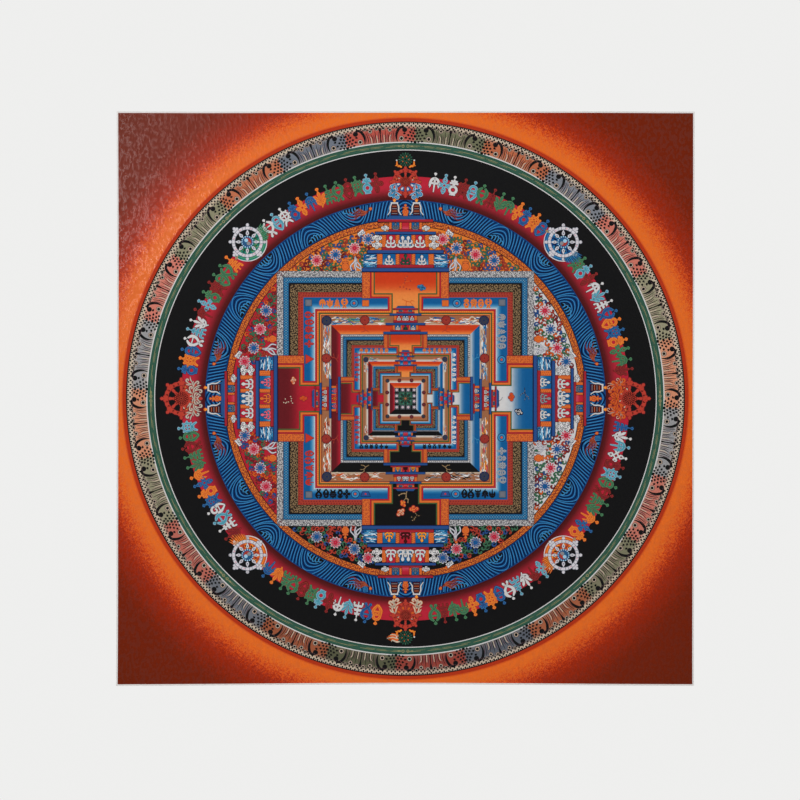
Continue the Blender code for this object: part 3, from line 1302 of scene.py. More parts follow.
@drawn
def treasure_vase(art, dye, coat, broad=0.0):
    """A round vase on a foot, with a neck, a lip and a plant of three buds."""
    art.hoop((0, 3.6), 4.3, 3.2 + 2 * broad, dye, coat, 16)
    art.slab(3.6, -3.5, -1.2, dye, coat, broad)
    art.bar(-1.7 - broad, 7.2, 1.7 + broad, 11.0, dye, coat)
    art.slab(5.4, 10.4, 12.8, dye, coat, broad)
    for turn in (-50, 0, 50):
        art.drop((0, 11.8), 5.4 + broad, 3.0 + 2 * broad, turn, dye, coat, 7)


@drawn
def open_lotus(art, dye, coat, broad=0.0):
    """A lotus seen from the side: five upright petals on a curved leaf, and its stem."""
    for turn, length in ((-74, 7.4), (-38, 11.6), (0, 13.4), (38, 11.6), (74, 7.4)):
        art.drop((0, 3.6), length + broad, 3.5 + 2 * broad, turn, dye, coat, 8)
    art.brush(arc((0, 6.0), 5.6, 118, 242, 10), 2.6, 0.4, 0.4, dye, coat, grow=broad)
    stem = [(0, 4.0), (0.6, -0.6), (-0.8, -3.5 - broad)]
    art.stroke(stem, [2.8 + 2 * broad, 2.4 + 2 * broad, 1.0 + broad], dye, coat)


@drawn
def conch(art, dye, coat, broad=0.0):
    """A conch with its whorl at the head and its long mouth below."""
    art.brush(swirl((0.2, 10.6), 5.4, 1.6, -150, 400, 18), 2.9, 0.9, 0.5, dye, coat, grow=broad)
    for foot, bow in (((-4.6, 8.8), (-4.8, 2.6)), ((5.0, 8.8), (4.2, 3.0))):
        art.brush(curve([foot, bow, (-0.4, -3.6 - broad)], 8), 3.2, 0.9, 0.4, dye, coat, grow=broad)
    art.bar(-4.0, 4.0 - broad, 3.6, 5.6 + broad, dye, coat)


@drawn
def endless_knot(art, dye, coat, broad=0.0):
    """A woven lattice of two strands each way on its corner, with a loop at each point."""
    for way in (-1, 1):
        for shift in (-1, 1):
            middle = np.array([shift * 1.75, 6.8 - way * shift * 1.75])
            half = np.array([4.4, way * 4.4])
            art.stroke([middle - half, middle + half], 1.9 + 2 * broad, dye, coat)
    for place in ((-5.4, 6.8), (5.4, 6.8), (0, 13.4), (0, 0.2)):
        art.hoop(place, 2.0, 1.7 + 2 * broad, dye, coat, 10)
    art.drop((0, 14.4), 3.2 + broad, 3.0 + 2 * broad, 0, dye, coat, 6)
    art.drop((0, -0.6), 3.4 + broad, 3.0 + 2 * broad, 180, dye, coat, 6)


@drawn
def victory_banner(art, dye, coat, broad=0.0):
    """A banner of three tiers that widen downwards, on a pole, with two tails."""
    for low, tall, half in ((10.4, 3.0, 3.8), (5.4, 3.2, 5.2), (0.4, 3.0, 6.4)):
        foot, head = half + broad, half * 0.74 + broad
        y, top = low - broad, low + tall + broad
        art.panel([(-foot, y), (foot, y), (head, top), (-head, top)], dye, coat)
    pole = [(0, 16.8 + broad), (0, 12.0), (0, -3.5 - broad)]
    art.stroke(pole, [1.0, 2.6 + 2 * broad, 1.4 + broad], dye, coat)
    for side in (-1, 1):
        art.drop((side * 4.8, 1.6), 4.8 + broad, 2.6 + 2 * broad, side * 172, dye, coat, 6)


@drawn
def law_wheel(art, dye, coat, broad=0.0):
    """A wheel of four spokes on a forked stand."""
    art.hoop((0, 8.8), 5.2, 2.5 + 2 * broad, dye, coat, 16)
    for turn in range(0, 360, 45):
        art.drop(polar(turn, 5.4) + (0, 8.8), 3.0 + broad, 2.4 + 2 * broad, turn, dye, coat, 5)
    for turn in (0, 90):
        art.stroke([polar(turn, -5.0) + (0, 8.8), polar(turn, 5.0) + (0, 8.8)], 1.6 + 2 * broad, dye, coat)
    art.disc((0, 8.8), 1.7 + broad, dye, coat, 9)
    for side in (-1, 1):
        line = curve([(0, 3.4), (side * 3.2, 0.6), (side * 5.2, -3.2 - broad)], 7)
        art.brush(line, 2.8, 0.9, 0.4, dye, coat, grow=broad)


def swirl(at, reach, core, start, sweep, steps):
    """Points of a spiral that winds inward from one radius to another."""
    share = np.linspace(0, 1, steps + 1)
    angle = np.radians(start + sweep * share)
    radius = reach + (core - reach) * share
    return np.asarray(at, float) + np.column_stack([radius * np.sin(angle), radius * np.cos(angle)])


# The band of emblems on the crimson and black rings

EMBLEMS = (parasol, fishes, treasure_vase, open_lotus, conch, endless_knot, victory_banner, law_wheel)
EMBLEM_DYES = (
    "chalk", "orange", "green", "turquoise", "beam_blue", "maroon", "chalk", "orange", "green", "maroon",
    "beam_blue", "green", "turquoise",
)
# The pigments of an emblem's outline and of the edge inside it, by the emblem's own
EMBLEM_EDGES = {
    "white": ("grey", "white"),
    "chalk": ("ink", "chalk"),
    "silver": ("slate", "chalk"),
    "orange": ("burnt_orange", "light_orange"),
    "green": ("dark_green", "leaf"),
    "beam_blue": ("navy", "sky"),
    "maroon": ("wine", "brick"),
    "turquoise": ("slate", "pale_blue"),
    "light_orange": ("burnt_orange", "light_orange"),
    "red": ("maroon", "red"),
    "black": ("ink", "black"),
}
EMBLEM_OUTLINE = 0.55
EMBLEM_FOOT = 279.8
EMBLEM_SIZE = 1.06
EMBLEM_FIRST = 7.6
EMBLEM_LAST = 38.4
EMBLEMS_EACH = 13


@drawn
def emblem(art, kind, dye, jewel=True):
    """One emblem on its dark outline, under a small jewel."""
    outline, edge = EMBLEM_EDGES[dye]
    for coat, (broad, paint) in enumerate(((EMBLEM_OUTLINE, outline), (0.0, edge), (-0.45, dye))):
        art.stamp(EMBLEMS[kind](paint, FORM + coat, broad))
        if jewel:
            art.drop((0, 16.8 - broad), 4.6 + 2 * broad, 3.8 + 2 * broad, 0, paint, FORM + coat, 7)


@drawn
def emblem_band(art):
    """Emblems in rows between the wheels and the lotus discs."""
    made = {}
    for eighth in range(8):
        for index in range(EMBLEMS_EACH):
            angle = EMBLEM_FIRST + (EMBLEM_LAST - EMBLEM_FIRST) * index / (EMBLEMS_EACH - 1)
            turn = (eighth // 2) * 90 + (angle if eighth % 2 == 0 else 90 - angle)
            kind = (index * 5 + eighth * 3) % len(EMBLEMS)
            dye = EMBLEM_DYES[(index * 3 + eighth * 5) % len(EMBLEM_DYES)]
            if (kind, dye) not in made:
                made[kind, dye] = emblem(kind, dye)
            lean = turn + 2.5 * math.sin(index * 2.3)
            art.stamp(made[kind, dye], polar(turn, EMBLEM_FOOT), lean, EMBLEM_SIZE, index % 2 == 1)


# The wheels and the lotus discs

WHEEL_CENTRE = 293.5
WHEEL_RADIUS = 18.4
# Knobs on the rim at a spoke's end, by turns one with a pin and a group of four: degrees from the spoke,
# distance outside the rim, and radius
CORNER_KNOBS = ((0, 4.0, 2.0),)
POINT_KNOBS = ((-6.5, 3.6, 1.7), (6.5, 3.6, 1.7), (0, 6.2, 1.9), (0, 3.0, 1.6))


@drawn
def spoked_wheel(art, dye, shade):
    """A wheel with eight drop-shaped spokes, a jointed rim with knobs and a ring of beads round its hub."""
    for index in range(8):
        turn = index * 45
        knobs = CORNER_KNOBS if index % 2 else POINT_KNOBS
        for grow, paint, coat in ((0.5, shade, 1), (0.0, dye, 2)):
            for step, reach, radius in knobs:
                art.disc(polar(turn + step, WHEEL_RADIUS + reach), radius + grow, paint, FORM + coat, 9)
            if index % 2:
                pin = [polar(turn, WHEEL_RADIUS), polar(turn, WHEEL_RADIUS + 6.2)]
                art.stroke(pin, 1.7 + 2 * grow, paint, FORM + coat)
        art.drop(polar(turn, WHEEL_RADIUS - 1.4), 9.0, 4.9, turn + 180, shade, FORM + 1, 9)
        art.drop(polar(turn, WHEEL_RADIUS - 1.7), 8.2, 3.9, turn + 180, dye, FORM + 2, 9)
        art.drop(polar(turn, WHEEL_RADIUS - 5.0), 3.2, 1.6, turn + 180, shade, FORM + 3, 6)
    art.hoop((0, 0), WHEEL_RADIUS, 4.6, shade, FORM + 3, 40)
    art.hoop((0, 0), WHEEL_RADIUS, 3.6, dye, FORM + 4, 40)
    for index in range(24):
        turn = index * 15 + 7.5 + 2.4 * math.sin(index * 2.7)
        joint = [polar(turn, WHEEL_RADIUS - 1.8), polar(turn + 1.5, WHEEL_RADIUS + 1.8)]
        art.stroke(joint, 0.55, shade, FORM + 5)
        if index % 3 == 0:
            art.disc(polar(turn + 6, WHEEL_RADIUS - 0.4), 0.7, "pink", FORM + 5, 6)
    art.disc((0, 0), 8.2, "navy", FORM + 4, 20)
    for index in range(16):
        art.disc(polar(index * 22.5, 7.2), 1.0, "pale_blue", FORM + 5, 7)
    art.disc((0, 0), 6.0, "beam_blue", FORM + 5, 18)
    art.disc((0, 0), 5.3, "silver", FORM + 6, 18)
    for turn, dye in ((100, "brick"), (280, "band_blue")):
        art.blot(np.vstack([arc((0, 0), 5.3, turn - 80, turn + 60, 10), [(0.0, 0.0)]]), dye, FORM + 7)
        art.disc(polar(turn - 90, 2.6), 2.5, "silver" if turn > 180 else "pale_blue", FORM + 8, 10)


HALO_RADIUS = 25.4


@drawn
def halo(art, deep, middle, light):
    """The half of a wheel's ground on the side of the palace, within a white outline, and a comb of flames
    at its clockwise end."""
    rim = arc((0, 0), HALO_RADIUS, 86, 268, 30)
    art.blot(np.vstack([rim, [(0, 0.5)]]), middle, FORM)
    art.brush(rim, 1.4, 0.4, 0.3, "chalk", FORM + 1)
    art.brush(arc((0, 0), 22.2, 96, 262, 24), 1.1, 0.4, 0.4, light, FORM + 1)
    for index in range(10):
        turn = 104 + index * 17
        whorl = swirl(polar(turn, 12.4), 3.0, 0.9, turn, 300, 8)
        art.stroke(whorl, 1.3, (deep, light)[index % 2], FORM + 1)
        art.drop(polar(turn + 8, 8.0), 6.0, 2.6, turn, (deep, "ink")[index % 2], FORM + 1, 6)
    for index in range(9):
        turn = 84 + index * 5.4
        tip = HALO_RADIUS + 8.4 - 1.1 * abs(index - 3)
        tongue = curve([polar(turn + 4, 18.0), polar(turn, 24.0), polar(turn - 3, tip)], 7)
        art.brush(tongue, 2.9, 1.0, 0.1, (deep, middle)[index % 2], FORM + 2)
        art.brush(tongue, 0.8, 1.0, 0.1, light, FORM + 3)
    art.drop(polar(258, 22.0), 6.4, 3.4, 262, "gold", FORM + 2, 6)


# Each wheel's halo, clockwise from the upper right: deep, middle and light pigment
HALOS = (
    ("navy", "blue", "sky"),
    ("brick", "burnt_orange", "light_orange"),
    ("brick", "burnt_orange", "light_orange"),
    ("dark_green", "teal", "leaf"),
)


@drawn
def corner_wheels(art):
    """A wheel on its halo at each corner of the outer palace."""
    wheel = spoked_wheel("lilac", "slate")
    for index, dyes in enumerate(HALOS):
        turn = 45 + 90 * index
        place = polar(turn, WHEEL_CENTRE)
        art.stamp(halo(*dyes), place, turn)
        art.stamp(wheel, place, turn)


UPRIGHT_DISC = 287.2
SIDE_DISC = 294.6
UPRIGHT_SIZE = 0.76
DISC_RADIUS = 20.2


@drawn
def lotus_disc(art, gaps):
    """An eight-sided red wheel closely filled with petals, with openings in the given pigments, clockwise
    from just right of its outer point. It is closed where the pigment is its own."""
    art.hoop((0, 0), DISC_RADIUS, 6.2, "maroon", FORM + 3, 16)
    art.hoop((0, 0), DISC_RADIUS, 4.9, "terracotta", FORM + 4, 16)
    art.disc((0, 0), DISC_RADIUS, "terracotta", FORM, 8)
    for index, gap in enumerate(gaps):
        turn = index * 45
        for grow, paint, coat in ((0.6, "maroon", 4), (0.0, "terracotta", 5)):
            rim = polar(turn, DISC_RADIUS + 0.4)
            art.drop(rim, 7.4 + grow, 4.2 + 2 * grow, turn, paint, FORM + coat, 8)
            for step in (-6.5, 6.5):
                art.disc(polar(turn + step, DISC_RADIUS + 2.0), 1.5 + grow, paint, FORM + coat, 9)
            art.drop(polar(turn, 7.6), 11.4, 3.6 + 2 * grow, turn, paint, FORM + coat - 2, 8)
        between = turn + 22.5
        if gap == "terracotta":
            for reach in (9.4, 13.6):
                art.drop(polar(between, reach), 6.6, 7.4, between, "wine", FORM + 1, 7)
                art.drop(polar(between, reach), 5.2, 4.8, between, "terracotta", FORM + 2, 7)
            art.drop(polar(between + 9, 11.0), 3.6, 1.7, between, "cream", FORM + 3, 5)
            art.drop(polar(between - 10, 15.4), 3.0, 1.4, between + 60, "apricot", FORM + 3, 5)
        else:
            art.drop(polar(between, 7.0), 12.0, 9.4, between, gap, FORM + 1, 8)
            if gap != "black":
                art.drop(polar(between, 9.4), 6.4, 3.4, between + 14, "chalk", FORM + 2, 6)
        for step in (13, 32):
            whorl = swirl(polar(turn + step, DISC_RADIUS - 1.0), 1.5, 0.5, turn, 300, 6)
            art.stroke(whorl, 0.9, "wine", FORM + 5)
    art.disc((0, 0), 9.2, "wine", FORM + 6, 20)
    for ring, (count, reach, radius) in enumerate(((20, 7.8, 0.95), (14, 5.6, 0.8))):
        for index in range(count):
            art.disc(polar((index + 0.5 * ring) * 360 / count, reach), radius, "terracotta", FORM + 7, 6)
    for radius, dye in ((4.2, "brick"), (3.2, "wine"), (2.4, "brick"), (1.1, "wine")):
        art.disc((0, 0), radius, dye, FORM + 7 + (4.2 - radius), 14)


@drawn
def flame_lotus(art):
    """A round dark green lotus with spiked petals, and small flames at its foot."""
    for ring, (count, reach, length) in enumerate(((16, 3.6, 7.0), (12, 1.6, 6.0), (8, 0.4, 4.2))):
        coat = FORM + 4 + 2 * ring
        for index in range(count):
            turn = (index + 0.5 * ring) * 360 / count
            art.drop(polar(turn, reach), length, 3.2, turn, "ink", coat, 7)
            art.drop(polar(turn, reach + 0.4), length - 1.0, 2.1, turn, "dark_green", coat + 1, 7)
            if index % 2 == 0:
                art.drop(polar(turn, reach + 2.2), length - 3.4, 0.9, turn, "green", coat + 2, 5)
    for index in range(5):
        art.disc(polar(index * 72 + 20, 4.4), 0.8, "burnt_orange", FORM + 12, 6)
    for side in (-1, 1):
        for x, y, tip in ((8.4, -9.4, (11.2, -1.4)), (5.0, -10.6, (13.4, -8.0))):
            line = curve([(side * x, y), (side * (x + 2.6), y + 2.0), (side * tip[0], tip[1])], 8)
            art.brush(line, 3.0, 0.7, 0.2, "burnt_orange", FORM + 3)
            art.brush(line, 1.2, 0.7, 0.2, "light_orange", FORM + 4)
        art.disc((side * 11.6, -1.0), 1.1, "chalk", FORM + 5, 7)


@drawn
def crest_curl(art, dye, shade, broad):
    """A wave's crest: a stroke that rises and winds over at its head, with two tongues on its back."""
    back = curve([(-6.4, -4.6), (-3.4, 0.4), (0.6, 2.4)], 6)
    line = np.vstack([back, swirl((1.0, 0.4), 2.1, 0.9, 0, 250, 7)])
    tongues = [
        curve([(-5.6, -3.4), (-5.2, 1.4), (-2.8, 4.6)], 6),
        curve([(-4.8, -4.6), (0.4, -3.6), (4.6, -4.4)], 6),
    ]
    for grow, paint, coat in ((1.1, shade, 7), (0.0, dye, 8)):
        art.brush(line, broad + grow, 0.2, 0.7, paint, FORM + coat)
        for tongue in tongues:
            art.brush(tongue, broad * 0.8 + grow, 0.4, 0.1, paint, FORM + coat)


# Curled crests beside a disc on its right, with the left ones their mirror image: distance from its middle,
# height above it and turn. The side discs' lie lower than the upper and lower discs', and the right disc's
# end in thin pale tips
SIDE_CURLS = ((13.0, -13.0, 20), (20.0, -20.5, 70), (9.5, -24.0, 120), (23.5, -9.0, -20), (4.5, -19.5, 40))
UPRIGHT_CURLS = ((15.5, -9.5, 110), (11.5, -19.0, 150), (18.5, -16.0, 70))
CURL_TIPS = ((24.0, -15.0, 60), (15.0, -26.5, 150))
# Each curl's pigments and the breadth of its stroke, by the disc's turn
Curls = namedtuple("Curls", "places dye shade breadth")
DISC_CURLS = {
    0: (Curls(UPRIGHT_CURLS, "sky", "chalk", 2.4),),
    90: (Curls(SIDE_CURLS, "burnt_orange", "brick", 2.3), Curls(CURL_TIPS, "cream", "brick", 0.8)),
    180: (Curls(UPRIGHT_CURLS, "cream", "burnt_orange", 2.4),),
    270: (Curls(SIDE_CURLS, "cream", "grey", 1.5),),
}
# The openings of the lower disc are orange and red, where the upper one's are blue and white
LOWER_DISC_DYES = {"blue": "brick", "chalk": "burnt_orange"}
FLAME_DYES = ("burnt_orange", "cream", "orange")
FLAME_LOTUS_RISE = 29.7


@drawn
def disc_curls(art, curls):
    puff = crest_curl(curls.dye, curls.shade, curls.breadth)
    for x, y, turn in curls.places:
        for side in (-1, 1):
            art.stamp(puff, (side * x, y), side * turn, mirror=side < 0)


@drawn
def flame_brush(art):
    """A fan of flames beside the lower round lotus."""
    for index in range(8):
        y = index * 1.5 - 5.6
        tip = 25.5 - 2.0 * abs(index - 3.5)
        line = curve([(4.0, y * 0.6), (11.0, y * 0.9 + 1.2), (17.0, y * 0.8 - 0.8), (tip, y + 0.6)], 9)
        art.brush(line, 2.2, 0.8, 0.15, FLAME_DYES[index % 3], FORM + 0.1 * index, 0.3)


@drawn
def cardinal_discs(art):
    """Four lotus discs with their curls, and the round lotuses over the upper and lower ones."""
    closed = "terracotta"
    side_disc = lotus_disc(("black", "black", closed, closed, closed, closed, "black", "black"))
    upright = lotus_disc(("black", closed, "blue", "blue", "blue", "blue", closed, "black"))
    for turn, crests in DISC_CURLS.items():
        beside = turn % 180 != 0
        centre = polar(turn, SIDE_DISC if beside else UPRIGHT_DISC)
        if beside:
            art.stamp(side_disc, centre, turn)
        else:
            art.stamp(upright, centre, turn, UPRIGHT_SIZE, dyes=LOWER_DISC_DYES if turn else None)
        for curls in crests:
            art.stamp(disc_curls(curls), centre, turn)
        if not beside:
            art.stamp(flame_lotus(), polar(turn, UPRIGHT_DISC + FLAME_LOTUS_RISE), turn)
    art.stamp(flame_brush(), polar(180, UPRIGHT_DISC + FLAME_LOTUS_RISE), 180)


# The palaces. One quarter is drawn with its outer side at the top, then turned for the other three

# Each has its ground's deep and pale ends, the pigments of its emblems and its garden, and the distances of
# its emblems and of its single marks along half of its outer panel
Quarter = namedtuple("Quarter", "turn deep pale emblem garden emblems marks")
QUARTERS = (
    Quarter(
        0, "flame", "apricot", "orange", "ring_orange",
        (109.0, 99.4, 89.8, 80.2), ((67.6, "ring"), (52.4, "slab")),
    ),
    Quarter(
        90, "blue", "chalk", "silver", "chalk",
        (108.0, 98.4, 88.8, 79.2, 69.6), ((51.6, "ring"),),
    ),
    Quarter(
        180, "black", "black", "black", "black",
        (114.0, 104.6, 95.2, 85.8, 77.2), ((66.0, "ring"), (52.4, "bowl")),
    ),
    Quarter(
        270, "garnet", "crimson", "red", "crimson",
        (111.0, 101.4, 91.8, 82.2, 72.6), ((52.4, "flame"),),
    ),
)

# A band of a square between two distances from the centre. Its dye is one pigment, or a row of them that
# shades it from its outer side
Band = namedtuple("Band", "outer inner dye")
# Fine scrollwork all over a band, and a row of beads
Scroll = namedtuple("Scroll", "outer inner pitch width dye")
Beads = namedtuple("Beads", "distance radius pitch dye")
# A disc on a band, right of the middle line and mirrored to its left
Disc = namedtuple("Disc", "x y radius dye")
# A gate: a wide head over a narrow neck, the outer edges of its three outlines, and the strips beside it
Gate = namedtuple("Gate", "head step foot wide neck lines strip")
# A tower's beams, its storeys with a middle pane and two side panes, and its ribbed roof
Beam = namedtuple("Beam", "low high half dye")
Storey = namedtuple("Storey", "low high half middle near far")
Roof = namedtuple("Roof", "low high half top")
Palace = namedtuple("Palace", "half bands scrolls beads discs gate beams storeys roof")


def banding(*run):
    """Bands from a run of edges, the outermost first, with the dye between each two."""
    return tuple(Band(outer, inner, dye) for outer, dye, inner in zip(run[::2], run[1::2], run[2::2]))


OUTER_PALACE = Palace(
    half=169.0,
    bands=banding(
        169.0, "silver", 160.6, "band_blue", 153.1, "black", 151.6, "brown", 141.0, "brick",
        134.1, ("blue", "blue", "blue", "sky", "chalk"), 118.6, "crimson", 116.4, "orange", 113.8, "moss",
        112.2, "apricot", 110.6, "maroon", 109.9, ("ochre", "ochre", "ochre", "cream"),
        97.7, ("deep", "deep", "pale"), 85.2,
    ),
    scrolls=(
        Scroll(168.5, 161.1, 2.5, 0.85, "lead"), Scroll(168.5, 161.1, 2.9, 0.85, "white"),
        Scroll(151.4, 141.2, 2.4, 0.72, "gold"),
    ),
    beads=(
        Beads(158.6, 0.9, 3.4, "sky"), Beads(155.2, 0.9, 3.4, "sky"), Beads(156.9, 0.6, 3.4, "pale_blue"),
        Beads(136.2, 0.9, 3.6, "maroon"), Beads(139.0, 0.9, 3.6, "maroon"),
        Beads(115.1, 0.7, 2.6, "light_orange"),
    ),
    discs=(Disc(103.6, 103.2, 6.3, "navy"), Disc(53.5, 104.0, 6.1, "maroon")),
    gate=Gate(167.9, 139.7, 112.2, 40.1, 16.6, (1.6, 4.6, 6.6), 56.9),
    beams=(
        Beam(167.9, 172.8, 56.9, "beam_blue"), Beam(173.2, 177.2, 37.0, "beam_red"),
        Beam(192.1, 196.5, 49.9, "beam_blue"), Beam(196.5, 200.3, 30.7, "beam_red"),
        Beam(217.4, 220.9, 39.8, "beam_blue"), Beam(221.2, 224.0, 21.8, "beam_red"),
        Beam(233.9, 237.4, 36.2, "beam_red"),
    ),
    storeys=(
        Storey(177.5, 191.7, 37.0, 7.5, 13.2, 29.9), Storey(200.3, 217.4, 30.7, 7.5, 13.5, 25.0),
        Storey(224.0, 233.9, 21.8, 4.4, 8.4, 17.5),
    ),
    roof=Roof(237.4, 242.7, 26.7, 20.2),
)
MIDDLE_PALACE = Palace(
    half=85.2,
    bands=banding(
        85.2, "silver", 81.9, "band_blue", 77.5, "black", 76.4, "brown", 70.9, "brick",
        67.1, ("blue", "blue", "sky", "chalk"), 59.9, "crimson", 58.8, "orange", 57.7, "moss",
        56.1, ("ochre", "ochre", "ochre", "cream", "chalk"), 49.2, ("deep", "deep", "pale"), 43.4,
    ),
    scrolls=(Scroll(76.2, 71.1, 2.0, 0.6, "gold"), Scroll(84.9, 82.2, 2.2, 0.6, "lead")),
    beads=(
        Beads(83.6, 0.8, 2.6, "white"), Beads(79.7, 0.7, 2.6, "sky"), Beads(69.0, 0.5, 2.0, "maroon"),
        Beads(58.2, 0.3, 1.7, "light_orange"),
    ),
    discs=(Disc(52.0, 51.6, 3.3, "navy"),),
    gate=Gate(84.7, 70.9, 56.1, 19.7, 8.0, (1.2, 2.5, 3.8), 28.5),
    beams=(
        Beam(85.2, 88.5, 28.8, "beam_blue"), Beam(89.0, 90.9, 19.5, "beam_red"),
        Beam(97.3, 100.2, 25.9, "beam_blue"), Beam(100.6, 103.7, 15.6, "beam_red"),
        Beam(110.0, 112.7, 20.7, "beam_blue"), Beam(112.9, 114.6, 11.6, "beam_red"),
        Beam(117.7, 119.6, 16.1, "beam_red"),
    ),
    storeys=(
        Storey(91.1, 97.3, 16.8, 4.4, 6.5, 13.6), Storey(103.7, 110.0, 15.0, 3.6, 5.6, 11.6),
        Storey(114.6, 117.7, 11.4, 2.4, 4.0, 8.6),
    ),
    roof=Roof(119.6, 122.6, 13.1, 10.4),
)
INNER_PALACE = Palace(
    half=43.4,
    bands=banding(
        43.4, "silver", 42.3, "band_blue", 39.0, "brown", 35.7, "brick", 34.1, "ink",
        33.5, ("blue", "sky", "chalk"), 30.2, "crimson", 29.7, "orange", 29.1, "moss",
        28.6, ("ochre", "ochre", "clay", "cream", "chalk"), 20.9, ("deep", "deep", "pale"), 14.3,
    ),
    scrolls=(Scroll(38.8, 35.9, 1.8, 0.55, "gold"),),
    beads=(Beads(40.6, 0.55, 1.9, "sky"), Beads(34.9, 0.3, 1.5, "maroon"), Beads(42.85, 0.3, 1.6, "white")),
    discs=(Disc(23.6, 23.6, 2.5, "navy"), Disc(8.0, 24.0, 2.4, "mauve")),
    gate=Gate(42.9, 35.7, 28.6, 10.0, 5.2, (0.6, 1.2, 1.8), 13.7),
    beams=(
        Beam(43.4, 45.0, 14.7, "beam_blue"), Beam(49.2, 50.8, 13.4, "beam_blue"),
        Beam(55.2, 56.6, 11.4, "beam_blue"), Beam(60.0, 61.6, 9.0, "beam_red"),
    ),
    storeys=(
        Storey(45.0, 49.2, 9.4, 2.3, 3.3, 7.2), Storey(50.8, 55.2, 8.2, 2.1, 3.1, 6.4),
        Storey(56.6, 60.0, 6.6, 1.6, 2.5, 5.0),
    ),
    roof=Roof(61.6, 64.0, 5.6, 4.2),
)

OUTLINE = 0.55
FINEST_OUTLINE = 0.3


def shade_stops(quarter, names):
    """Colour stops at even steps, from pigment names or the quarter's deep and pale grounds."""
    own = {"deep": quarter.deep, "pale": quarter.pale}
    return [(index / (len(names) - 1), tint(own.get(name, name))) for index, name in enumerate(names)]


def mitred(outer, inner):
    """The corners of a square band's upper side."""
    return [(-outer, outer), (outer, outer), (inner, inner), (-inner, inner)]


@drawn
def band_marks(art, palace):
    """The plain bands' outlines on the upper side of a palace, with its scrollwork and its beads."""
    for band in palace.bands:
        if isinstance(band.dye, str):
            art.panel(mitred(band.outer + OUTLINE / 4, band.outer - OUTLINE / 4), "ink", FORM, WALL_CELL)
    for scroll in palace.scrolls:
        run = (-scroll.outer, scroll.outer, scroll.inner, scroll.outer)
        art.stamp(hooks(*run, scroll.pitch, scroll.width, scroll.dye, FORM, mitre=True))
    for row in palace.beads:
        count = round(2 * row.distance / row.pitch)
        for index in range(count):
            x = (index + 0.5) * 2 * row.distance / count - row.distance
            art.disc((x, row.distance), row.radius, row.dye, FORM, 6)


# The pigments of the brush strokes on the tan bands, left and right of each quarter's gate, and of the
# branches on the wall inside the outer one, by the pigment of the quarter's ground
WASHES = {
    "flame": (
        ("white", "sky", "cream", "leaf", "blue"),
        ("cream", "burnt_orange", "white", "blue"),
        "brick",
    ),
    "blue": (
        ("white", "sky", "blue", "cream"),
        ("cream", "rose", "white", "light_orange", "silver"),
        "sky",
    ),
    "black": (
        ("white", "silver", "ochre", "ink"),
        ("cream", "burnt_orange", "white", "ochre"),
        "gold",
    ),
    "garnet": (
        ("burnt_orange", "cream", "maroon", "white"),
        ("white", "sky", "cream", "burnt_orange"),
        "brick",
    ),
}
# The runs of strokes on half of each palace's tan band, at the outer palace's scale: place and length
WASH_RUNS = {OUTER_PALACE: ((78.5, 40.0), (38.0, 20.0)), MIDDLE_PALACE: ((82.0, 20.0),), INNER_PALACE: ()}
WASH_HEIGHT = 11.0
SPRIG_HEIGHT = 91.6
# The rays on a band's discs, by the disc's pigment
RAY_DYES = {"navy": "lead", "maroon": "brick", "mauve": "maroon"}


@drawn
def band_discs(art, palace, quarter):
    """The discs of the tan band's upper side, with wisps of cloud between them."""
    corner, near = palace.discs[0], palace.discs[-1]
    places = [((-corner.x, corner.y), corner)]
    if near is not corner:
        places += [((side * near.x, near.y), near) for side in (-1, 1)]
    for place, disc in places:
        art.disc(place, disc.radius * 1.07, "ink", DETAIL, 18)
        art.disc(place, disc.radius * (1.0 if disc.radius > 3 else 0.72), disc.dye, LINE, 18)
        for turn in range(0, 360, 45):
            ray = swirl(place, disc.radius * 0.9, disc.radius * 0.2, turn, 110, 5)
            art.stroke(ray, disc.radius * 0.15, RAY_DYES[disc.dye], LINE + 1)
    size = palace.half / OUTER_PALACE.half
    *sides, twig = WASHES[quarter.deep]
    for side, dyes in zip((-1, 1), sides):
        for x, span in WASH_RUNS[palace]:
            strokes = wash(span, WASH_HEIGHT, dyes, quarter.turn + round(x) + side)
            art.stamp(strokes, (side * x * size, corner.y), size=size)
    if palace is OUTER_PALACE:
        for side in (-1, 1):
            art.stamp(sprig(twig, twig, FORM), (side * near.x, SPRIG_HEIGHT), size=0.7, mirror=side < 0)


# Rows of emblems on a panel: their height, their size and their distances along each half of it
SignRow = namedtuple("SignRow", "height size places")
MIDDLE_SIGNS = SignRow(63.6, 0.31, (58.0, 51.4, 44.8, 38.2, 31.6, 25.0))
OUTER_SIGN_HEIGHT = 126.4
OUTER_SIGN_SIZE = 0.58
EMBLEM_MIDDLE = 6.8
RING_MARK = ((5.8, "navy"), (4.9, "sky"), (3.0, "blue"), (1.5, "orange"), (0.8, "red"))
# The outer panel's corner stone: its middle, and half its width and its pigment from the edge inward
STONE_PLACE = (-127.4, 127.0)
STONE = ((4.6, "lead"), (4.0, "slate"), (2.4, "grey"))


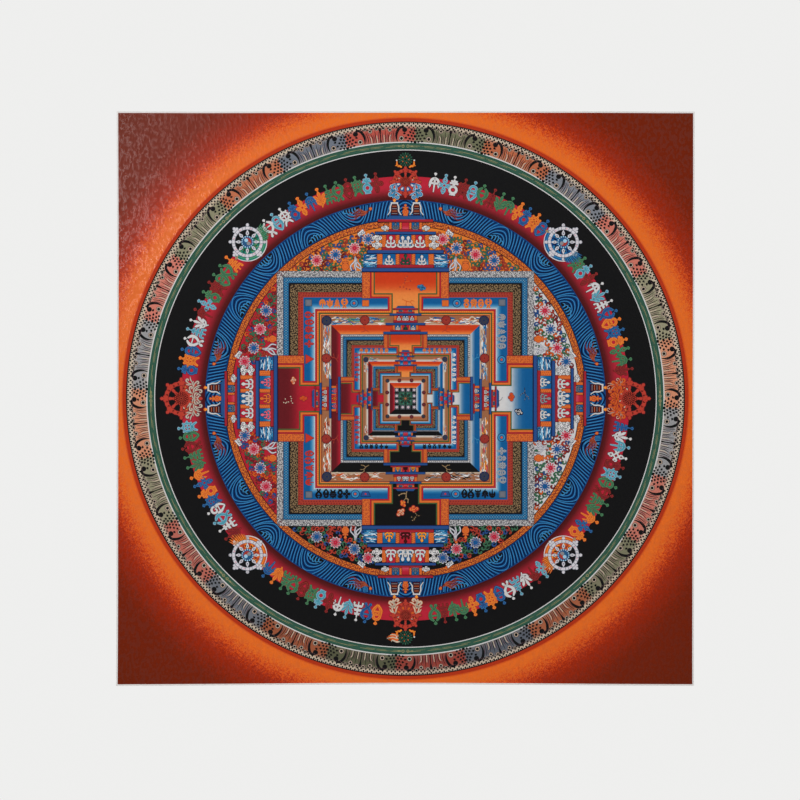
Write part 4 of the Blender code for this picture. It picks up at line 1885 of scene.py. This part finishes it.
@drawn
def mark(art, kind):
    """A single mark on the outer palace's panel: a ring, a slab, a bowl or a flame."""
    if kind == "ring":
        for coat, (radius, dye) in enumerate(RING_MARK):
            art.disc((0, 0), radius, dye, FORM + coat, 16)
    elif kind == "slab":
        art.slab(4.6, -4.4, 4.4, "maroon", FORM)
        art.slab(4.1, -3.9, 3.9, "orange", DETAIL)
        for x in (-2.0, 0.0, 2.0):
            art.bar(x - 0.3, -3.9, x + 0.3, 3.9, "burnt_orange", LINE)
    elif kind == "bowl":
        art.panel([(-4.4, -3.6), (4.4, -3.6), (6.8, 3.8), (-6.8, 3.8)], "navy", FORM)
        art.panel([(-3.8, -3.0), (3.8, -3.0), (5.8, 3.0), (-5.8, 3.0)], "beam_blue", DETAIL)
        art.disc((0, 0), 1.3, "red", LINE, 8)
    else:
        art.blot([(-6.8, 5.2), (6.8, 5.2), (0, -7.0)], "maroon", FORM)
        art.blot([(-5.8, 4.6), (5.8, 4.6), (0, -5.6)], "red", DETAIL)


@drawn
def sign_row(art, row, dye):
    """A row of emblems on each half of a panel."""
    for side in (-1, 1):
        for index, x in enumerate(row.places):
            sign = emblem((index * 3 + (side > 0)) % len(EMBLEMS), dye, False)
            art.stamp(sign, (side * x, row.height - EMBLEM_MIDDLE * row.size), size=row.size)


@drawn
def outer_signs(art, quarter):
    """The emblems, marks and grey corner stone of the outer palace's panel."""
    art.stamp(sign_row(SignRow(OUTER_SIGN_HEIGHT, OUTER_SIGN_SIZE, quarter.emblems), quarter.emblem))
    for side in (-1, 1):
        for x, kind in quarter.marks:
            art.stamp(mark(kind), (side * x, OUTER_SIGN_HEIGHT))
    x, y = STONE_PLACE
    for half, dye in STONE:
        art.bar(x - half, y - half, x + half, y + half, dye, FORM + (STONE[0][0] - half))


def gate_edge(gate, offset):
    """The right edge of a gate from its foot to its head, moved outward by an offset."""
    return np.array([
        (gate.neck + offset, gate.foot + offset), (gate.neck + offset, gate.step - offset),
        (gate.wide + offset, gate.step - offset), (gate.wide + offset, gate.head),
    ])


@drawn
def gate_outlines(art, gate):
    """A gate's three coloured outlines, and the scrolled orange strips at both sides of its head."""
    half = Motif()
    edges = (0.0,) + gate.lines
    for inner, outer, dye in zip(edges, edges[1:], ("moss", "orange", "crimson")):
        half.strip(gate_edge(gate, outer), gate_edge(gate, inner), dye, GATE)
        half.stroke(gate_edge(gate, outer), 0.35, "ink", GATE + 1)
    left, low = gate.wide + edges[-1], gate.step - edges[-1]
    half.bar(left, low, gate.strip, gate.head, "orange", GATE)
    box = [(left, low), (gate.strip, low), (gate.strip, gate.head)]
    half.stroke(box, 0.8, "maroon", GATE + 1)
    wide = gate.strip - left
    run = (low + 0.6, gate.head - 0.6, -gate.strip + 0.4, -left - 0.4)
    half.stamp(hooks(*run, wide * 0.27, wide * 0.075, "brick", GATE + 1), turn=-90)
    art.stamp(half)
    art.stamp(half, mirror=True)


@drawn
def gate_ground(art, gate, quarter):
    """A gate's shaded ground: its wide head and its neck."""
    deep, pale = tint(quarter.deep), tint(quarter.pale)
    between = tint(quarter.deep, quarter.pale, 0.30)
    light = tint(quarter.deep, quarter.pale, 0.85)
    head, neck = (
        [(-half, high), (half, high), (half, low), (-half, low)]
        for half, high, low in ((gate.wide, gate.head, gate.step), (gate.neck, gate.step, gate.foot))
    )
    art.panel(head, [(0.0, deep), (0.45, deep), (0.75, between), (1.0, light)], GATE, WALL_CELL)
    art.panel(neck, [(0.0, light), (0.3, pale), (1.0, pale)], GATE, WALL_CELL)


# What is drawn on a gate's ground, by its pigment: kind, place, size, turn and two pigments
Drawing = namedtuple("Drawing", "kind x y size turn dye light")
DRAWINGS = {
    "flame": (
        Drawing("cloud", 21.0, 147.0, 0.8, 20, "sky", "navy"),
        Drawing("sprig", -2.0, 151.0, 1.3, 0, "burnt_orange", "brick"),
        Drawing("sprig", 3.0, 128.0, 0.9, 60, "burnt_orange", "orange"),
    ),
    "blue": (
        Drawing("cloud", 18.0, 149.0, 0.8, -60, "ink", "chalk"),
        Drawing("cloud", -2.0, 139.0, 0.8, 0, "burnt_orange", "red"),
        Drawing("sprig", -6.0, 157.0, 0.9, 30, "brown", "slate"),
        Drawing("sprig", 2.0, 122.0, 0.8, 200, "silver", "silver"),
    ),
    "black": (
        Drawing("cloud", -11.0, 146.0, 0.9, 0, "red", "apricot"),
        Drawing("cloud", 6.0, 151.0, 0.9, 140, "burnt_orange", "cream"),
        Drawing("cloud", 3.0, 139.0, 0.7, 60, "red", "light_orange"),
        Drawing("sprig", 0.0, 128.0, 1.1, -40, "gold", "gold"),
        Drawing("sprig", -14.0, 156.0, 0.8, 20, "brown", "gold"),
    ),
    "garnet": (
        Drawing("sprig", -4.0, 152.0, 0.9, -30, "maroon", "cream"),
        Drawing("cloud", 24.0, 147.0, 0.75, 0, "burnt_orange", "cream"),
        Drawing("cloud", 0.0, 134.0, 0.7, 90, "burnt_orange", "red"),
    ),
}


@drawn
def gate_flora(art, quarter):
    """Clouds and branches on the outer gate's ground."""
    edge = "navy" if quarter.deep == "blue" else "maroon"
    for drawing in DRAWINGS[quarter.deep]:
        if drawing.kind == "cloud":
            made = cloud(drawing.dye, drawing.light, edge, GATE + 2)
        else:
            made = sprig(drawing.dye, drawing.light, GATE + 1)
        art.stamp(made, (drawing.x, drawing.y), drawing.turn, drawing.size)


ROOF_RIBS = 12


@drawn
def tower_frame(art, palace):
    """A tower's beams, pillars, storeys and ribbed roof."""
    scale = palace.half / OUTER_PALACE.half
    edge = max(OUTLINE * scale, FINEST_OUTLINE)
    for storey in palace.storeys:
        art.bar(-storey.half - edge, storey.low, storey.half + edge, storey.high, "ink", TOWER)
        art.slab(storey.half, storey.low, storey.high, "orange", TOWER + 1)
        for left, right in pane_edges(storey):
            art.bar(left - edge, storey.low, right + edge, storey.high, "ink", TOWER + 2)
        for x in ((storey.middle + storey.near) / 2, (storey.far + storey.half) / 2):
            for side in (-1, 1):
                for y in np.arange(storey.low + scale, storey.high, 2.6 * scale):
                    for step in (-1, 1):
                        spot = (side * x + step * 1.3 * scale, y + step * 0.6 * scale)
                        art.disc(spot, 0.6 * scale, "brick", TOWER + 2, 5)
    for beam in palace.beams:
        tall = beam.high - beam.low
        art.slab(beam.half, beam.low, beam.high, "ink", TOWER + 3, edge)
        art.slab(beam.half, beam.low, beam.high, beam.dye, TOWER + 4)
        light, dark = ("beam_blue", "navy") if beam.dye == "beam_blue" else ("crimson", "maroon")
        art.slab(beam.half, beam.high - tall * 0.3, beam.high - tall * 0.1, light, TOWER + 5)
        art.slab(beam.half, beam.low, beam.low + tall * 0.2, dark, TOWER + 5)
    roof = palace.roof
    corners = [(-roof.half, roof.low), (roof.half, roof.low), (roof.top, roof.high), (-roof.top, roof.high)]
    art.panel(corners, "beam_blue", TOWER + 4)
    for index in range(ROOF_RIBS + 1):
        share = index / ROOF_RIBS * 2 - 1
        rib = [(share * roof.half * 0.97, roof.low), (share * roof.top * 0.97, roof.high)]
        art.stroke(rib, (roof.half / ROOF_RIBS) * 0.34, "band_blue", TOWER + 5)
    art.stroke([(-roof.top, roof.high), (roof.top, roof.high)], edge * 2, "navy", TOWER + 5)


def pane_edges(storey):
    """Left and right edges of a storey's three panes."""
    return ((-storey.far, -storey.near), (-storey.middle, storey.middle), (storey.near, storey.far))


@drawn
def tower_panes(art, palace):
    """The shaded panes of a tower, deep at the head and pale at the foot, crimson and blue by turns."""
    for level, storey in enumerate(palace.storeys):
        for index, (left, right) in enumerate(pane_edges(storey)):
            dye, light = (("crimson", "pink"), ("blue", "pale_blue"))[(level + index + 1) % 2]
            corners = [(left, storey.high), (right, storey.high), (right, storey.low), (left, storey.low)]
            stops = [(0.0, tint(dye)), (0.45, tint(dye)), (1.0, tint(dye, light, 0.7))]
            art.panel(corners, stops, TOWER + 3)


# The bouquets in a tower's lowest side panes and middle pane, by the pigment of the quarter's ground
PANE_DYES = {
    "flame": ("chalk", "dark_green"),
    "blue": ("chalk", "silver"),
    "black": ("light_orange", "wine"),
    "garnet": ("pink", "orange"),
}
# How many bouquets stand in the three panes of each storey, from the lowest up
PANE_BOUQUETS = ((1, 1, 1), (1, 2, 1), (1, 0, 1))


@drawn
def tower_bouquets(art, palace, quarter):
    """Bouquets that stand in a tower's panes."""
    for level, storey in enumerate(palace.storeys):
        tall = storey.high - storey.low
        for index, (left, right) in enumerate(pane_edges(storey)):
            count = PANE_BOUQUETS[level][index]
            dye = (PANE_DYES[quarter.deep][index == 1], "chalk", "slate")[level]
            share = 1.0 if level == 0 and index == 1 else 0.92
            flower = bouquet(tall * share, dye, "ink", TOWER + 4)
            for place in range(count):
                x = left + (right - left) * (place + 0.5) / count
                art.stamp(flower, (x, storey.low), mirror=place == 1)


# Heaps of cloud beside the outer tower's storeys: distance across, foot, width and number of banks
Heap = namedtuple("Heap", "x foot width banks")
HEAPS = (Heap(37.4, 198.0, 12.6, 2), Heap(26.8, 221.8, 9.8, 1))
BANK_WIDTH = 13.6
# The panels of blue cloud beside its first storey: their middle, width and height
CLOUD_PLACE = (46.6, 182.6)
CLOUD_WIDTH = 17.2
CLOUD_HEIGHT = 18.0
CLOUD_PANEL_DYES = ("white", "sky", "band_blue", "pale_blue", "navy", "sky")


@drawn
def cloud_heap(art, heap):
    """Banks of white cloud, one over the other."""
    size = heap.width / BANK_WIDTH
    bank = cloud("white", "grey", "lead", TOWER)
    for level in range(heap.banks):
        art.stamp(bank, (0, (5.4 + level * 10.2) * size), size=size, mirror=level == 1)


@drawn
def cloud_panel(art):
    """A blue panel filled with brush strokes in blues and white."""
    art.bar(-CLOUD_WIDTH / 2, -CLOUD_HEIGHT / 2, CLOUD_WIDTH / 2, CLOUD_HEIGHT / 2, "blue", TOWER)
    for seed in (3, 4):
        strokes = wash(CLOUD_WIDTH - 5.0, CLOUD_HEIGHT * 1.1, CLOUD_PANEL_DYES, seed)
        art.stamp(strokes, lift=TOWER - FORM + seed - 2)


BANNER = 14.5


@drawn
def banner(art):
    """A cylinder banner on the roof: dark red with bars, a ribbon at each side and a jewel on top."""
    low, high, foot, head = 243.4, 259.6, 4.8, 3.2
    corners = [(-foot, low), (foot, low), (head, high), (-head, high)]
    art.panel(corners, "wine", TOWER + 4)
    for index in range(5):
        y = low + 1.4 + index * 3.2
        half = foot + (head - foot) * (y - low) / (high - low) - 0.9
        art.slab(half, y, y + 1.1, ("grey", "clay")[index % 2], TOWER + 5)
    for side in (-1, 1):
        ribbon = curve([(side * head, high), (side * (head + 2.4), 254.0), (side * (foot + 0.8), 248.4),
                        (side * (foot + 4.2), 243.2)], 10)
        art.brush(ribbon, 2.6, 0.7, 0.4, "slate", TOWER + 5)
        art.brush(ribbon, 1.6, 0.7, 0.4, "chalk", TOWER + 6)
    art.bar(-head - 1.6, high - 1.2, head + 1.6, high + 0.6, "chalk", TOWER + 7)
    art.drop((0, high), 6.0, 4.8, 0, "burnt_orange", TOWER + 7, 8)
    art.disc((0, high + 2.8), 1.8, "light_orange", TOWER + 8, 9)


@drawn
def roof_vase(art):
    """The orange vase in the middle of the outer roof."""
    for paint, grow, coat in (("maroon", 0.6, TOWER + 5), ("orange", 0.0, TOWER + 6)):
        art.slab(2.8, 242.4, 244.4, paint, coat, grow)
        art.disc((0, 247.6), 3.9 + grow, paint, coat, 12)
        art.bar(-1.6 - grow, 250.4, 1.6 + grow, 253.0, paint, coat)
        art.slab(3.4, 252.4, 253.8, paint, coat, grow)
        art.drop((0, 253.4), 4.4 + grow, 3.4 + grow, 0, paint, coat, 7)
    art.hoop((0, 247.6), 1.9, 0.7, "red", TOWER + 7, 9)


@drawn
def branch(art):
    """Long red strands that wave outward over the water from an orange jewel."""
    for index in range(6):
        rise = 2.0 - index * 1.9
        strand = [
            (48.0, 249.6), (54.0, 247.0 + rise * 0.5), (61.0, 249.4 + rise), (68.0, 245.6 + rise * 1.2)
        ]
        if index % 2:
            strand.append((75.6, 247.4 + rise * 1.3))
        line = curve(strand, 14)
        art.brush(line, 1.3, 0.7, 0.2, "wine", FORM + 3)
        art.brush(line, 0.8, 0.7, 0.2, "brick" if index % 2 else "clay", FORM + 4)
    art.drop((46.8, 248.0), 6.4, 5.0, -14, "maroon", FORM + 5, 8)
    art.drop((46.8, 248.6), 5.2, 3.8, -14, "orange", FORM + 6, 8)


@drawn
def tower_crown(art):
    """What stands beside and above the outer tower: clouds, banners, the vase and the branches."""
    for side in (-1, 1):
        art.stamp(cloud_panel(), (side * CLOUD_PLACE[0], CLOUD_PLACE[1]), mirror=side < 0)
        for heap in HEAPS:
            art.stamp(cloud_heap(heap), (side * heap.x, heap.foot), mirror=side < 0)
        art.stamp(banner(), (side * BANNER, 0))
        art.stamp(branch(), mirror=side < 0)
    art.stamp(roof_vase())


# The gardens between the outer palace and the orange ring

BLOSSOMS = ((49.0, 211.2), (67.0, 199.4), (92.0, 190.8), (116.5, 183.2))
BLOSSOM_RADIUS = 7.6
BLOSSOM_DYES = (("rose", "crimson"), ("beam_blue", "blue"))
GARDEN_VASE = (79.0, 170.2)
SHELL = (58.0, 219.4)
# Where the curled leaves stand: their rows and columns, and what they keep clear of. The tower has half its
# width between two heights, and each larger thing has the distance round its middle
GARDEN_ROWS = 13
GARDEN_COLUMNS = 27
RING_GAP = 3.0
TOWER_GAPS = ((0, 191, 55), (191, 217, 44), (217, 240, 32))
BLOSSOM_GAP = 8.2
THING_GAPS = (((79.0, 177.0), 7.0), (SHELL, 5.6), ((65.0, 178.0), 7.0))
CURL_PITCH = 5.8
CURL_REACH = 3.6
CURL_WIDTH = 2.2
GARDEN_SEED = 40
CURL_DYES = {
    "ring_orange": ("maroon", "green", "brick", "beam_blue", "green"),
    "chalk": ("brick", "green", "beam_blue", "maroon", "burnt_orange", "green"),
    "black": ("brick", "green", "beam_blue", "terracotta", "green"),
    "crimson": ("green", "beam_blue", "green", "brick", "maroon", "burnt_orange"),
}


@drawn
def garden_ground(art, dye):
    """A garden's plain ground, from the palace's side up to the orange ring."""
    foot, radius = OUTER_PALACE.half, rings().garden_outer
    half = math.sqrt(radius ** 2 - foot ** 2) - 0.1
    x = np.linspace(-half, half, 41)
    top = np.sqrt(radius ** 2 - x ** 2)
    for row in range(5):
        low, high = (foot + (top - foot) * share for share in (row / 5, (row + 1) / 5))
        art.strip(np.column_stack([x, low]), np.column_stack([x, high]), dye, GROUND)


def garden_free(x, y):
    """Whether a curl at this place stays clear of the ring, the tower and the garden's larger things."""
    across = abs(x)
    gaps = [(spot, BLOSSOM_GAP) for spot in BLOSSOMS] + list(THING_GAPS)
    return (
        math.hypot(x, y) <= rings().garden_outer - RING_GAP
        and not any(low <= y < high and across < half for low, high, half in TOWER_GAPS)
        and all(math.hypot(across - spot[0], y - spot[1]) > gap for spot, gap in gaps)
    )


@drawn
def garden_vase(art):
    """A round orange vase with a collar and a bud, standing on the palace's wall."""
    for paint, grow, coat in (("maroon", 0.6, 2), ("orange", 0.0, 3)):
        art.disc((0, 4.6), 4.7 + grow, paint, FORM + coat, 14)
        art.bar(-2.6 - grow, -0.6 - grow, 2.6 + grow, 1.2, paint, FORM + coat)
        art.slab(3.4, 9.4, 11.0, paint, FORM + coat, grow)
        art.drop((0, 10.6), 5.2 + grow, 4.0 + grow, 0, paint, FORM + coat, 7)
    art.hoop((0, 4.6), 2.6, 0.9, "burnt_orange", FORM + 4, 10)


@drawn
def shell(art):
    """A white shell with grey whorls and an orange knob at one end. It lies along x."""
    for paint, grow, coat in (("slate", 0.6, 2), ("white", 0.0, 3)):
        art.panel([(-5.0 - grow, -1.8 - grow), (4.0 + grow, -3.0 - grow), (4.6 + grow, 2.8 + grow),
                   (-4.6 - grow, 2.2 + grow)], paint, FORM + coat)
    for x in (-2.4, 1.6):
        art.stroke(swirl((x, 0.0), 2.2, 0.5, 60, 420, 10), 0.9, "slate", FORM + 4)
    art.drop((8.4, 0.4), 4.0, 3.0, -90, "burnt_orange", FORM + 3, 7)


@drawn
def streamer(art):
    """A grey ribbon in loose folds beside the tower's foot, that runs together at an orange jewel."""
    for foot, bend in ((58.0, 59.2), (65.0, 66.6), (71.0, 72.0), (55.6, 64.6)):
        line = curve([(foot, 169.6), (bend, 175.8), (65.6 + (foot - 64) * 0.2, 182.0), (66.4, 189.0)], 10)
        art.brush(line, 2.4, 0.7, 0.6, "slate", FORM + 2, 0.3)
        art.brush(line, 1.3, 0.7, 0.6, "lilac", FORM + 3, 0.3)
    art.disc((66.8, 190.4), 2.3, "maroon", FORM + 4, 8)
    art.disc((66.8, 190.4), 1.7, "orange", FORM + 5, 8)


@drawn
def garden(art, quarter):
    """Curled leaves all over a garden, with a row of blossoms, a vase and a shell at each side."""
    art.stamp(garden_ground(quarter.garden))
    chance = np.random.default_rng(GARDEN_SEED + quarter.turn)
    dyes = CURL_DYES[quarter.garden]
    leaves = [curl(CURL_REACH, CURL_WIDTH, dye, FORM, turns) for dye in dyes for turns in (0.75, 1.0)]
    for row in range(GARDEN_ROWS):
        y = OUTER_PALACE.half + 3.6 + row * CURL_PITCH * 0.87
        for column in range(-GARDEN_COLUMNS, GARDEN_COLUMNS + 1):
            x = (column + 0.5 * (row % 2)) * CURL_PITCH
            if garden_free(x, y):
                spot = np.array([x, y]) + chance.uniform(-0.7, 0.7, 2)
                leaf = leaves[chance.integers(len(leaves))]
                turn, size, flip = chance.uniform(0, 360), chance.uniform(0.95, 1.15), chance.random() < 0.5
                art.stamp(leaf, spot, turn, size, flip)
    flowers = [blossom(BLOSSOM_RADIUS, *pair, FORM + 2) for pair in BLOSSOM_DYES]
    for side in (-1, 1):
        for index, spot in enumerate(BLOSSOMS):
            art.stamp(flowers[(index + (side < 0)) % 2], (side * spot[0], spot[1]), index * 7)
        art.stamp(garden_vase(), (side * GARDEN_VASE[0], GARDEN_VASE[1]))
        art.stamp(shell(), (side * SHELL[0], SHELL[1]), side * 38, mirror=side > 0)
        art.stamp(streamer(), mirror=side < 0)


def orange_scrolls():
    """Fine red-brown scrollwork and a middle line on the orange ring."""
    sizes = rings()
    middle = (sizes.garden_outer + sizes.water_inner) / 2
    reach = math.pi * middle
    work = Motif()
    for low, high in ((-4.3, -0.3), (0.3, 4.3)):
        work.stamp(hooks(-reach, reach, low, high, 2.6, 0.85, "maroon", BAND))
    made = work.bent(middle)
    made.ring(middle - 0.25, middle + 0.25, "maroon", BAND, step=1.0)
    return made


# The centre

CENTRE_DOTS = (-11.5, -3.6, 3.6, 11.5)


@drawn
def centre_lotus(art):
    """A black square with twelve framed pale dots round a green field with a lotus of eight petals."""
    half = in_mm(bpy.context.scene.thangka_palaces).centre_half
    art.slab(half, -half, half, "black", BAND)
    for x in CENTRE_DOTS:
        for y in CENTRE_DOTS:
            if max(abs(x), abs(y)) > 10:
                art.bar(x - 2.7, y - 2.7, x + 2.7, y + 2.7, "grey", FORM)
                art.bar(x - 2.2, y - 2.2, x + 2.2, y + 2.2, "black", DETAIL)
                art.disc((x, y), 2.0, "grey", LINE, 10)
                art.disc((x, y), 1.6, "lilac", LINE + 1, 10)
                art.disc((x, y), 0.7, "rose", LINE + 2, 6)
    art.slab(8.9, -8.9, 8.9, "dark_green", FORM)
    art.slab(8.3, -8.3, 8.3, "ring_green", DETAIL)
    for turn in range(0, 360, 45):
        art.drop(polar(turn + 22.5, 2.0), 6.4, 3.2, turn + 22.5, "olive", LINE, 7)
        art.drop(polar(turn + 22.5, 4.2), 4.2, 1.4, turn + 22.5, "teal", LINE + 1, 6)
        art.drop(polar(turn, 1.2), 6.8, 3.6, turn, "ink", LINE + 1, 9)
        art.drop(polar(turn, 2.6), 4.0, 1.5, turn, "dark_green", LINE + 2, 6)
    art.disc((0, 0), 2.6, "dark_green", LINE + 3, 12)
    art.disc((0, 0), 1.5, "clay", LINE + 4, 12)


def palace_ranks():
    """The three palaces, each with its size over its drawn size."""
    sizes = in_mm(bpy.context.scene.thangka_palaces)
    return (
        (OUTER_PALACE, sizes.outer_half / OUTER_PALACE.half),
        (MIDDLE_PALACE, sizes.middle_half / MIDDLE_PALACE.half),
        (INNER_PALACE, sizes.inner_half / INNER_PALACE.half),
    )


def palace_walls():
    """The bands of the three palaces: one flat motif and one shaded motif."""
    flat, shaded = Motif(), Motif()
    for palace, size in palace_ranks():
        marks = band_marks(palace)
        for quarter in QUARTERS:
            plain, graded = Motif(), Motif()
            for band in palace.bands:
                corners = mitred(band.outer, band.inner)
                if isinstance(band.dye, str):
                    plain.panel(corners, band.dye, BAND, WALL_CELL)
                else:
                    graded.panel(corners, shade_stops(quarter, band.dye), BAND, WALL_CELL)
            plain.stamp(marks)
            plain.stamp(band_discs(palace, quarter))
            if palace is OUTER_PALACE:
                plain.stamp(outer_signs(quarter))
            elif palace is MIDDLE_PALACE:
                dye = "white" if quarter.emblem == "silver" else quarter.emblem
                plain.stamp(sign_row(MIDDLE_SIGNS, dye))
            flat.stamp(plain, turn=quarter.turn, size=size)
            shaded.stamp(graded, turn=quarter.turn, size=size)
    return flat, shaded


def palace_gates():
    """The gates of the three palaces: one flat motif and one shaded motif."""
    flat, shaded = Motif(), Motif()
    for palace, size in palace_ranks():
        outlines = gate_outlines(palace.gate)
        for quarter in QUARTERS:
            flat.stamp(outlines, turn=quarter.turn, size=size)
            if palace is OUTER_PALACE:
                flat.stamp(gate_flora(quarter), turn=quarter.turn, size=size)
            shaded.stamp(gate_ground(palace.gate, quarter), turn=quarter.turn, size=size)
    return flat, shaded


def palace_towers():
    """The towers over the gates: one flat motif and one shaded motif."""
    flat, shaded = Motif(), Motif()
    for palace, size in palace_ranks():
        plain = Motif()
        plain.stamp(tower_frame(palace))
        if palace is OUTER_PALACE:
            plain.stamp(tower_crown())
        panes = tower_panes(palace)
        for quarter in QUARTERS:
            flat.stamp(plain, turn=quarter.turn, size=size)
            if palace is not INNER_PALACE:
                flat.stamp(tower_bouquets(palace, quarter), turn=quarter.turn, size=size)
            shaded.stamp(panes, turn=quarter.turn, size=size)
    return flat, shaded


@drawn
def gardens(art):
    for quarter in QUARTERS:
        art.stamp(garden(quarter), turn=quarter.turn)


# The stage, lights and camera

FRAME_WIDTH = 1.0516
LENS = 85.0
SENSOR = 36.0
AIM = (-0.0074, 0.0, -0.3796)
FLOOR_BELOW = 0.40
FLOOR_SIZE = 1.3
FLOOR_COLOUR = (0.74, 0.73, 0.71, 1.0)
FLOOR_ROUGHNESS = 0.9
BACKDROP_COLOUR = (1.0, 1.0, 0.99, 1.0)
BACKDROP_GREY = 0.86
ROOM_LIGHT = 0.25

# Soft lamps: place, what they face, width and height in metres, and power in watts. Key and fill light the
# painting from both sides, the sheen lamp stands where its upper left mirrors it, and the back lamp lights
# the bare cotton
Lamp = namedtuple("Lamp", "name place target width height power")
LAMPS = (
    Lamp("key_light", (-2.2, -2.2, 1.6), AIM, 1.2, 1.2, 61),
    Lamp("fill_light", (2.3, -2.2, 1.4), AIM, 1.4, 1.4, 64),
    Lamp("sheen_light", (-0.67, -1.5, 0.05), (-0.38, 0.0, -0.12), 0.24, 0.44, 4.8),
    Lamp("back_light", (-2.2, 2.2, 1.2), AIM, 1.4, 1.4, 85),
)


def make_floor():
    bpy.ops.mesh.primitive_plane_add(size=FLOOR_SIZE)
    floor = bpy.context.object
    floor.name = "studio_floor"
    floor.location = (0, 0, -cloth().height - FLOOR_BELOW)
    material = bpy.data.materials.new("studio_floor")
    material.use_nodes = True
    shader = material.node_tree.nodes["Principled BSDF"]
    shader.inputs["Base Color"].default_value = FLOOR_COLOUR
    shader.inputs["Roughness"].default_value = FLOOR_ROUGHNESS
    floor.data.materials.append(material)


def studio_world():
    """A pale backdrop for the camera that lights the cloth less than it shows."""
    world = bpy.data.worlds.new("studio_world")
    world.use_nodes = True
    tree = world.node_tree
    background = tree.nodes["Background"]
    background.inputs["Color"].default_value = BACKDROP_COLOUR
    seen = node(tree, "ShaderNodeLightPath").outputs["Is Camera Ray"]
    tree.links.new(ranged(tree, seen, 0.0, 1.0, ROOM_LIGHT, BACKDROP_GREY), background.inputs["Strength"])
    return world


def soft_light(lamp):
    area = bpy.data.lights.new(lamp.name, "AREA")
    area.shape = "RECTANGLE"
    area.size = lamp.width
    area.size_y = lamp.height
    area.energy = lamp.power
    light = bpy.data.objects.new(lamp.name, area)
    light.location = lamp.place
    way = Vector(lamp.target) - Vector(lamp.place)
    light.rotation_euler = way.to_track_quat("-Z", "Y").to_euler()
    bpy.context.scene.collection.objects.link(light)


def make_camera():
    """A camera square to the cloth, as far off as its lens needs to see the frame's width."""
    lens = bpy.data.cameras.new("portrait_camera")
    lens.lens = LENS
    lens.sensor_width = SENSOR
    camera = bpy.data.objects.new("portrait_camera", lens)
    camera.location = (AIM[0], -FRAME_WIDTH * LENS / SENSOR, AIM[2])
    camera.rotation_euler = (math.radians(90), 0, 0)
    bpy.context.scene.collection.objects.link(camera)
    bpy.context.scene.camera = camera


def make_stage():
    scene = bpy.context.scene
    scene.view_settings.view_transform = "Standard"
    scene.world = studio_world()
    make_floor()
    for lamp in LAMPS:
        soft_light(lamp)
    make_camera()


# Operators and panel


class THANGKA_OT_cloth(bpy.types.Operator):
    """Make the cotton cloth and its shaded field"""

    bl_idname = "thangka.cloth"
    bl_label = "Cloth and Field"

    def execute(self, context):
        sheet = make_cotton_cloth()
        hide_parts("painted_canvas")
        make_field()
        return {"FINISHED"}


class THANGKA_OT_rings(bpy.types.Operator):
    """Paint the rings round the palace"""

    bl_idname = "thangka.rings"
    bl_label = "Rings"

    def execute(self, context):
        painted_piece("flat_rings", flat_rings())
        painted_piece("crimson_ring", crimson_ring(), graded=True)
        painted_piece("scroll_shades", scroll_shades(), graded=True)
        painted_piece("scroll_ring", scroll_ring())
        painted_piece("green_threads", green_threads())
        painted_piece("water_ring", water_ring())
        return {"FINISHED"}


class THANGKA_OT_ornaments(bpy.types.Operator):
    """Paint the emblems, wheels and lotus discs on the crimson and black rings"""

    bl_idname = "thangka.ornaments"
    bl_label = "Ornaments"

    def execute(self, context):
        painted_piece("emblem_band", emblem_band())
        painted_piece("corner_wheels", corner_wheels())
        painted_piece("cardinal_discs", cardinal_discs())
        return {"FINISHED"}


class THANGKA_OT_gardens(bpy.types.Operator):
    """Paint the gardens round the outer palace and the scrollwork of the orange ring"""

    bl_idname = "thangka.gardens"
    bl_label = "Gardens"

    def execute(self, context):
        painted_piece("gardens", gardens())
        painted_piece("orange_scrolls", orange_scrolls())
        return {"FINISHED"}


class THANGKA_OT_palaces(bpy.types.Operator):
    """Paint the walls, gates and towers of the three palaces"""

    bl_idname = "thangka.palaces"
    bl_label = "Palaces"

    def execute(self, context):
        for name, draw in (("walls", palace_walls), ("gates", palace_gates), ("towers", palace_towers)):
            flat, shaded = draw()
            painted_piece("palace_" + name, flat)
            painted_piece("palace_%s_shades" % name, shaded, graded=True)
        return {"FINISHED"}


class THANGKA_OT_centre(bpy.types.Operator):
    """Paint the lotus in the centre"""

    bl_idname = "thangka.centre"
    bl_label = "Centre"

    def execute(self, context):
        painted_piece("centre_lotus", centre_lotus())
        return {"FINISHED"}


class THANGKA_OT_stage(bpy.types.Operator):
    """Set the floor, the world, the lights and the camera"""

    bl_idname = "thangka.stage"
    bl_label = "Stage"

    def execute(self, context):
        make_stage()
        return {"FINISHED"}


class THANGKA_PT_panel(bpy.types.Panel):
    bl_label = "Thangka"
    bl_category = "Thangka"
    bl_space_type = "VIEW_3D"
    bl_region_type = "UI"

    def draw(self, context):
        for step in STEPS:
            self.layout.operator(step.bl_idname)
        for group, holder in GROUPS.items():
            for name in group.__annotations__:
                self.layout.prop(getattr(context.scene, holder), name)


STEPS = (THANGKA_OT_stage, THANGKA_OT_cloth, THANGKA_OT_rings, THANGKA_OT_ornaments, THANGKA_OT_gardens,
         THANGKA_OT_palaces, THANGKA_OT_centre)
GROUPS = {ClothSizes: "thangka_cloth", RingSizes: "thangka_rings", PalaceSizes: "thangka_palaces",
          Pigments: "thangka_pigments"}


def register():
    for group, holder in GROUPS.items():
        bpy.utils.register_class(group)
        setattr(bpy.types.Scene, holder, bpy.props.PointerProperty(type=group))
    for step in STEPS:
        bpy.utils.register_class(step)
    bpy.utils.register_class(THANGKA_PT_panel)


def unregister():
    bpy.utils.unregister_class(THANGKA_PT_panel)
    for step in reversed(STEPS):
        bpy.utils.unregister_class(step)
    for group, holder in GROUPS.items():
        delattr(bpy.types.Scene, holder)
        bpy.utils.unregister_class(group)


def main():
    register()
    for step in STEPS:
        family, name = step.bl_idname.split(".")
        getattr(getattr(bpy.ops, family), name)()


if __name__ == "__main__":
    main()
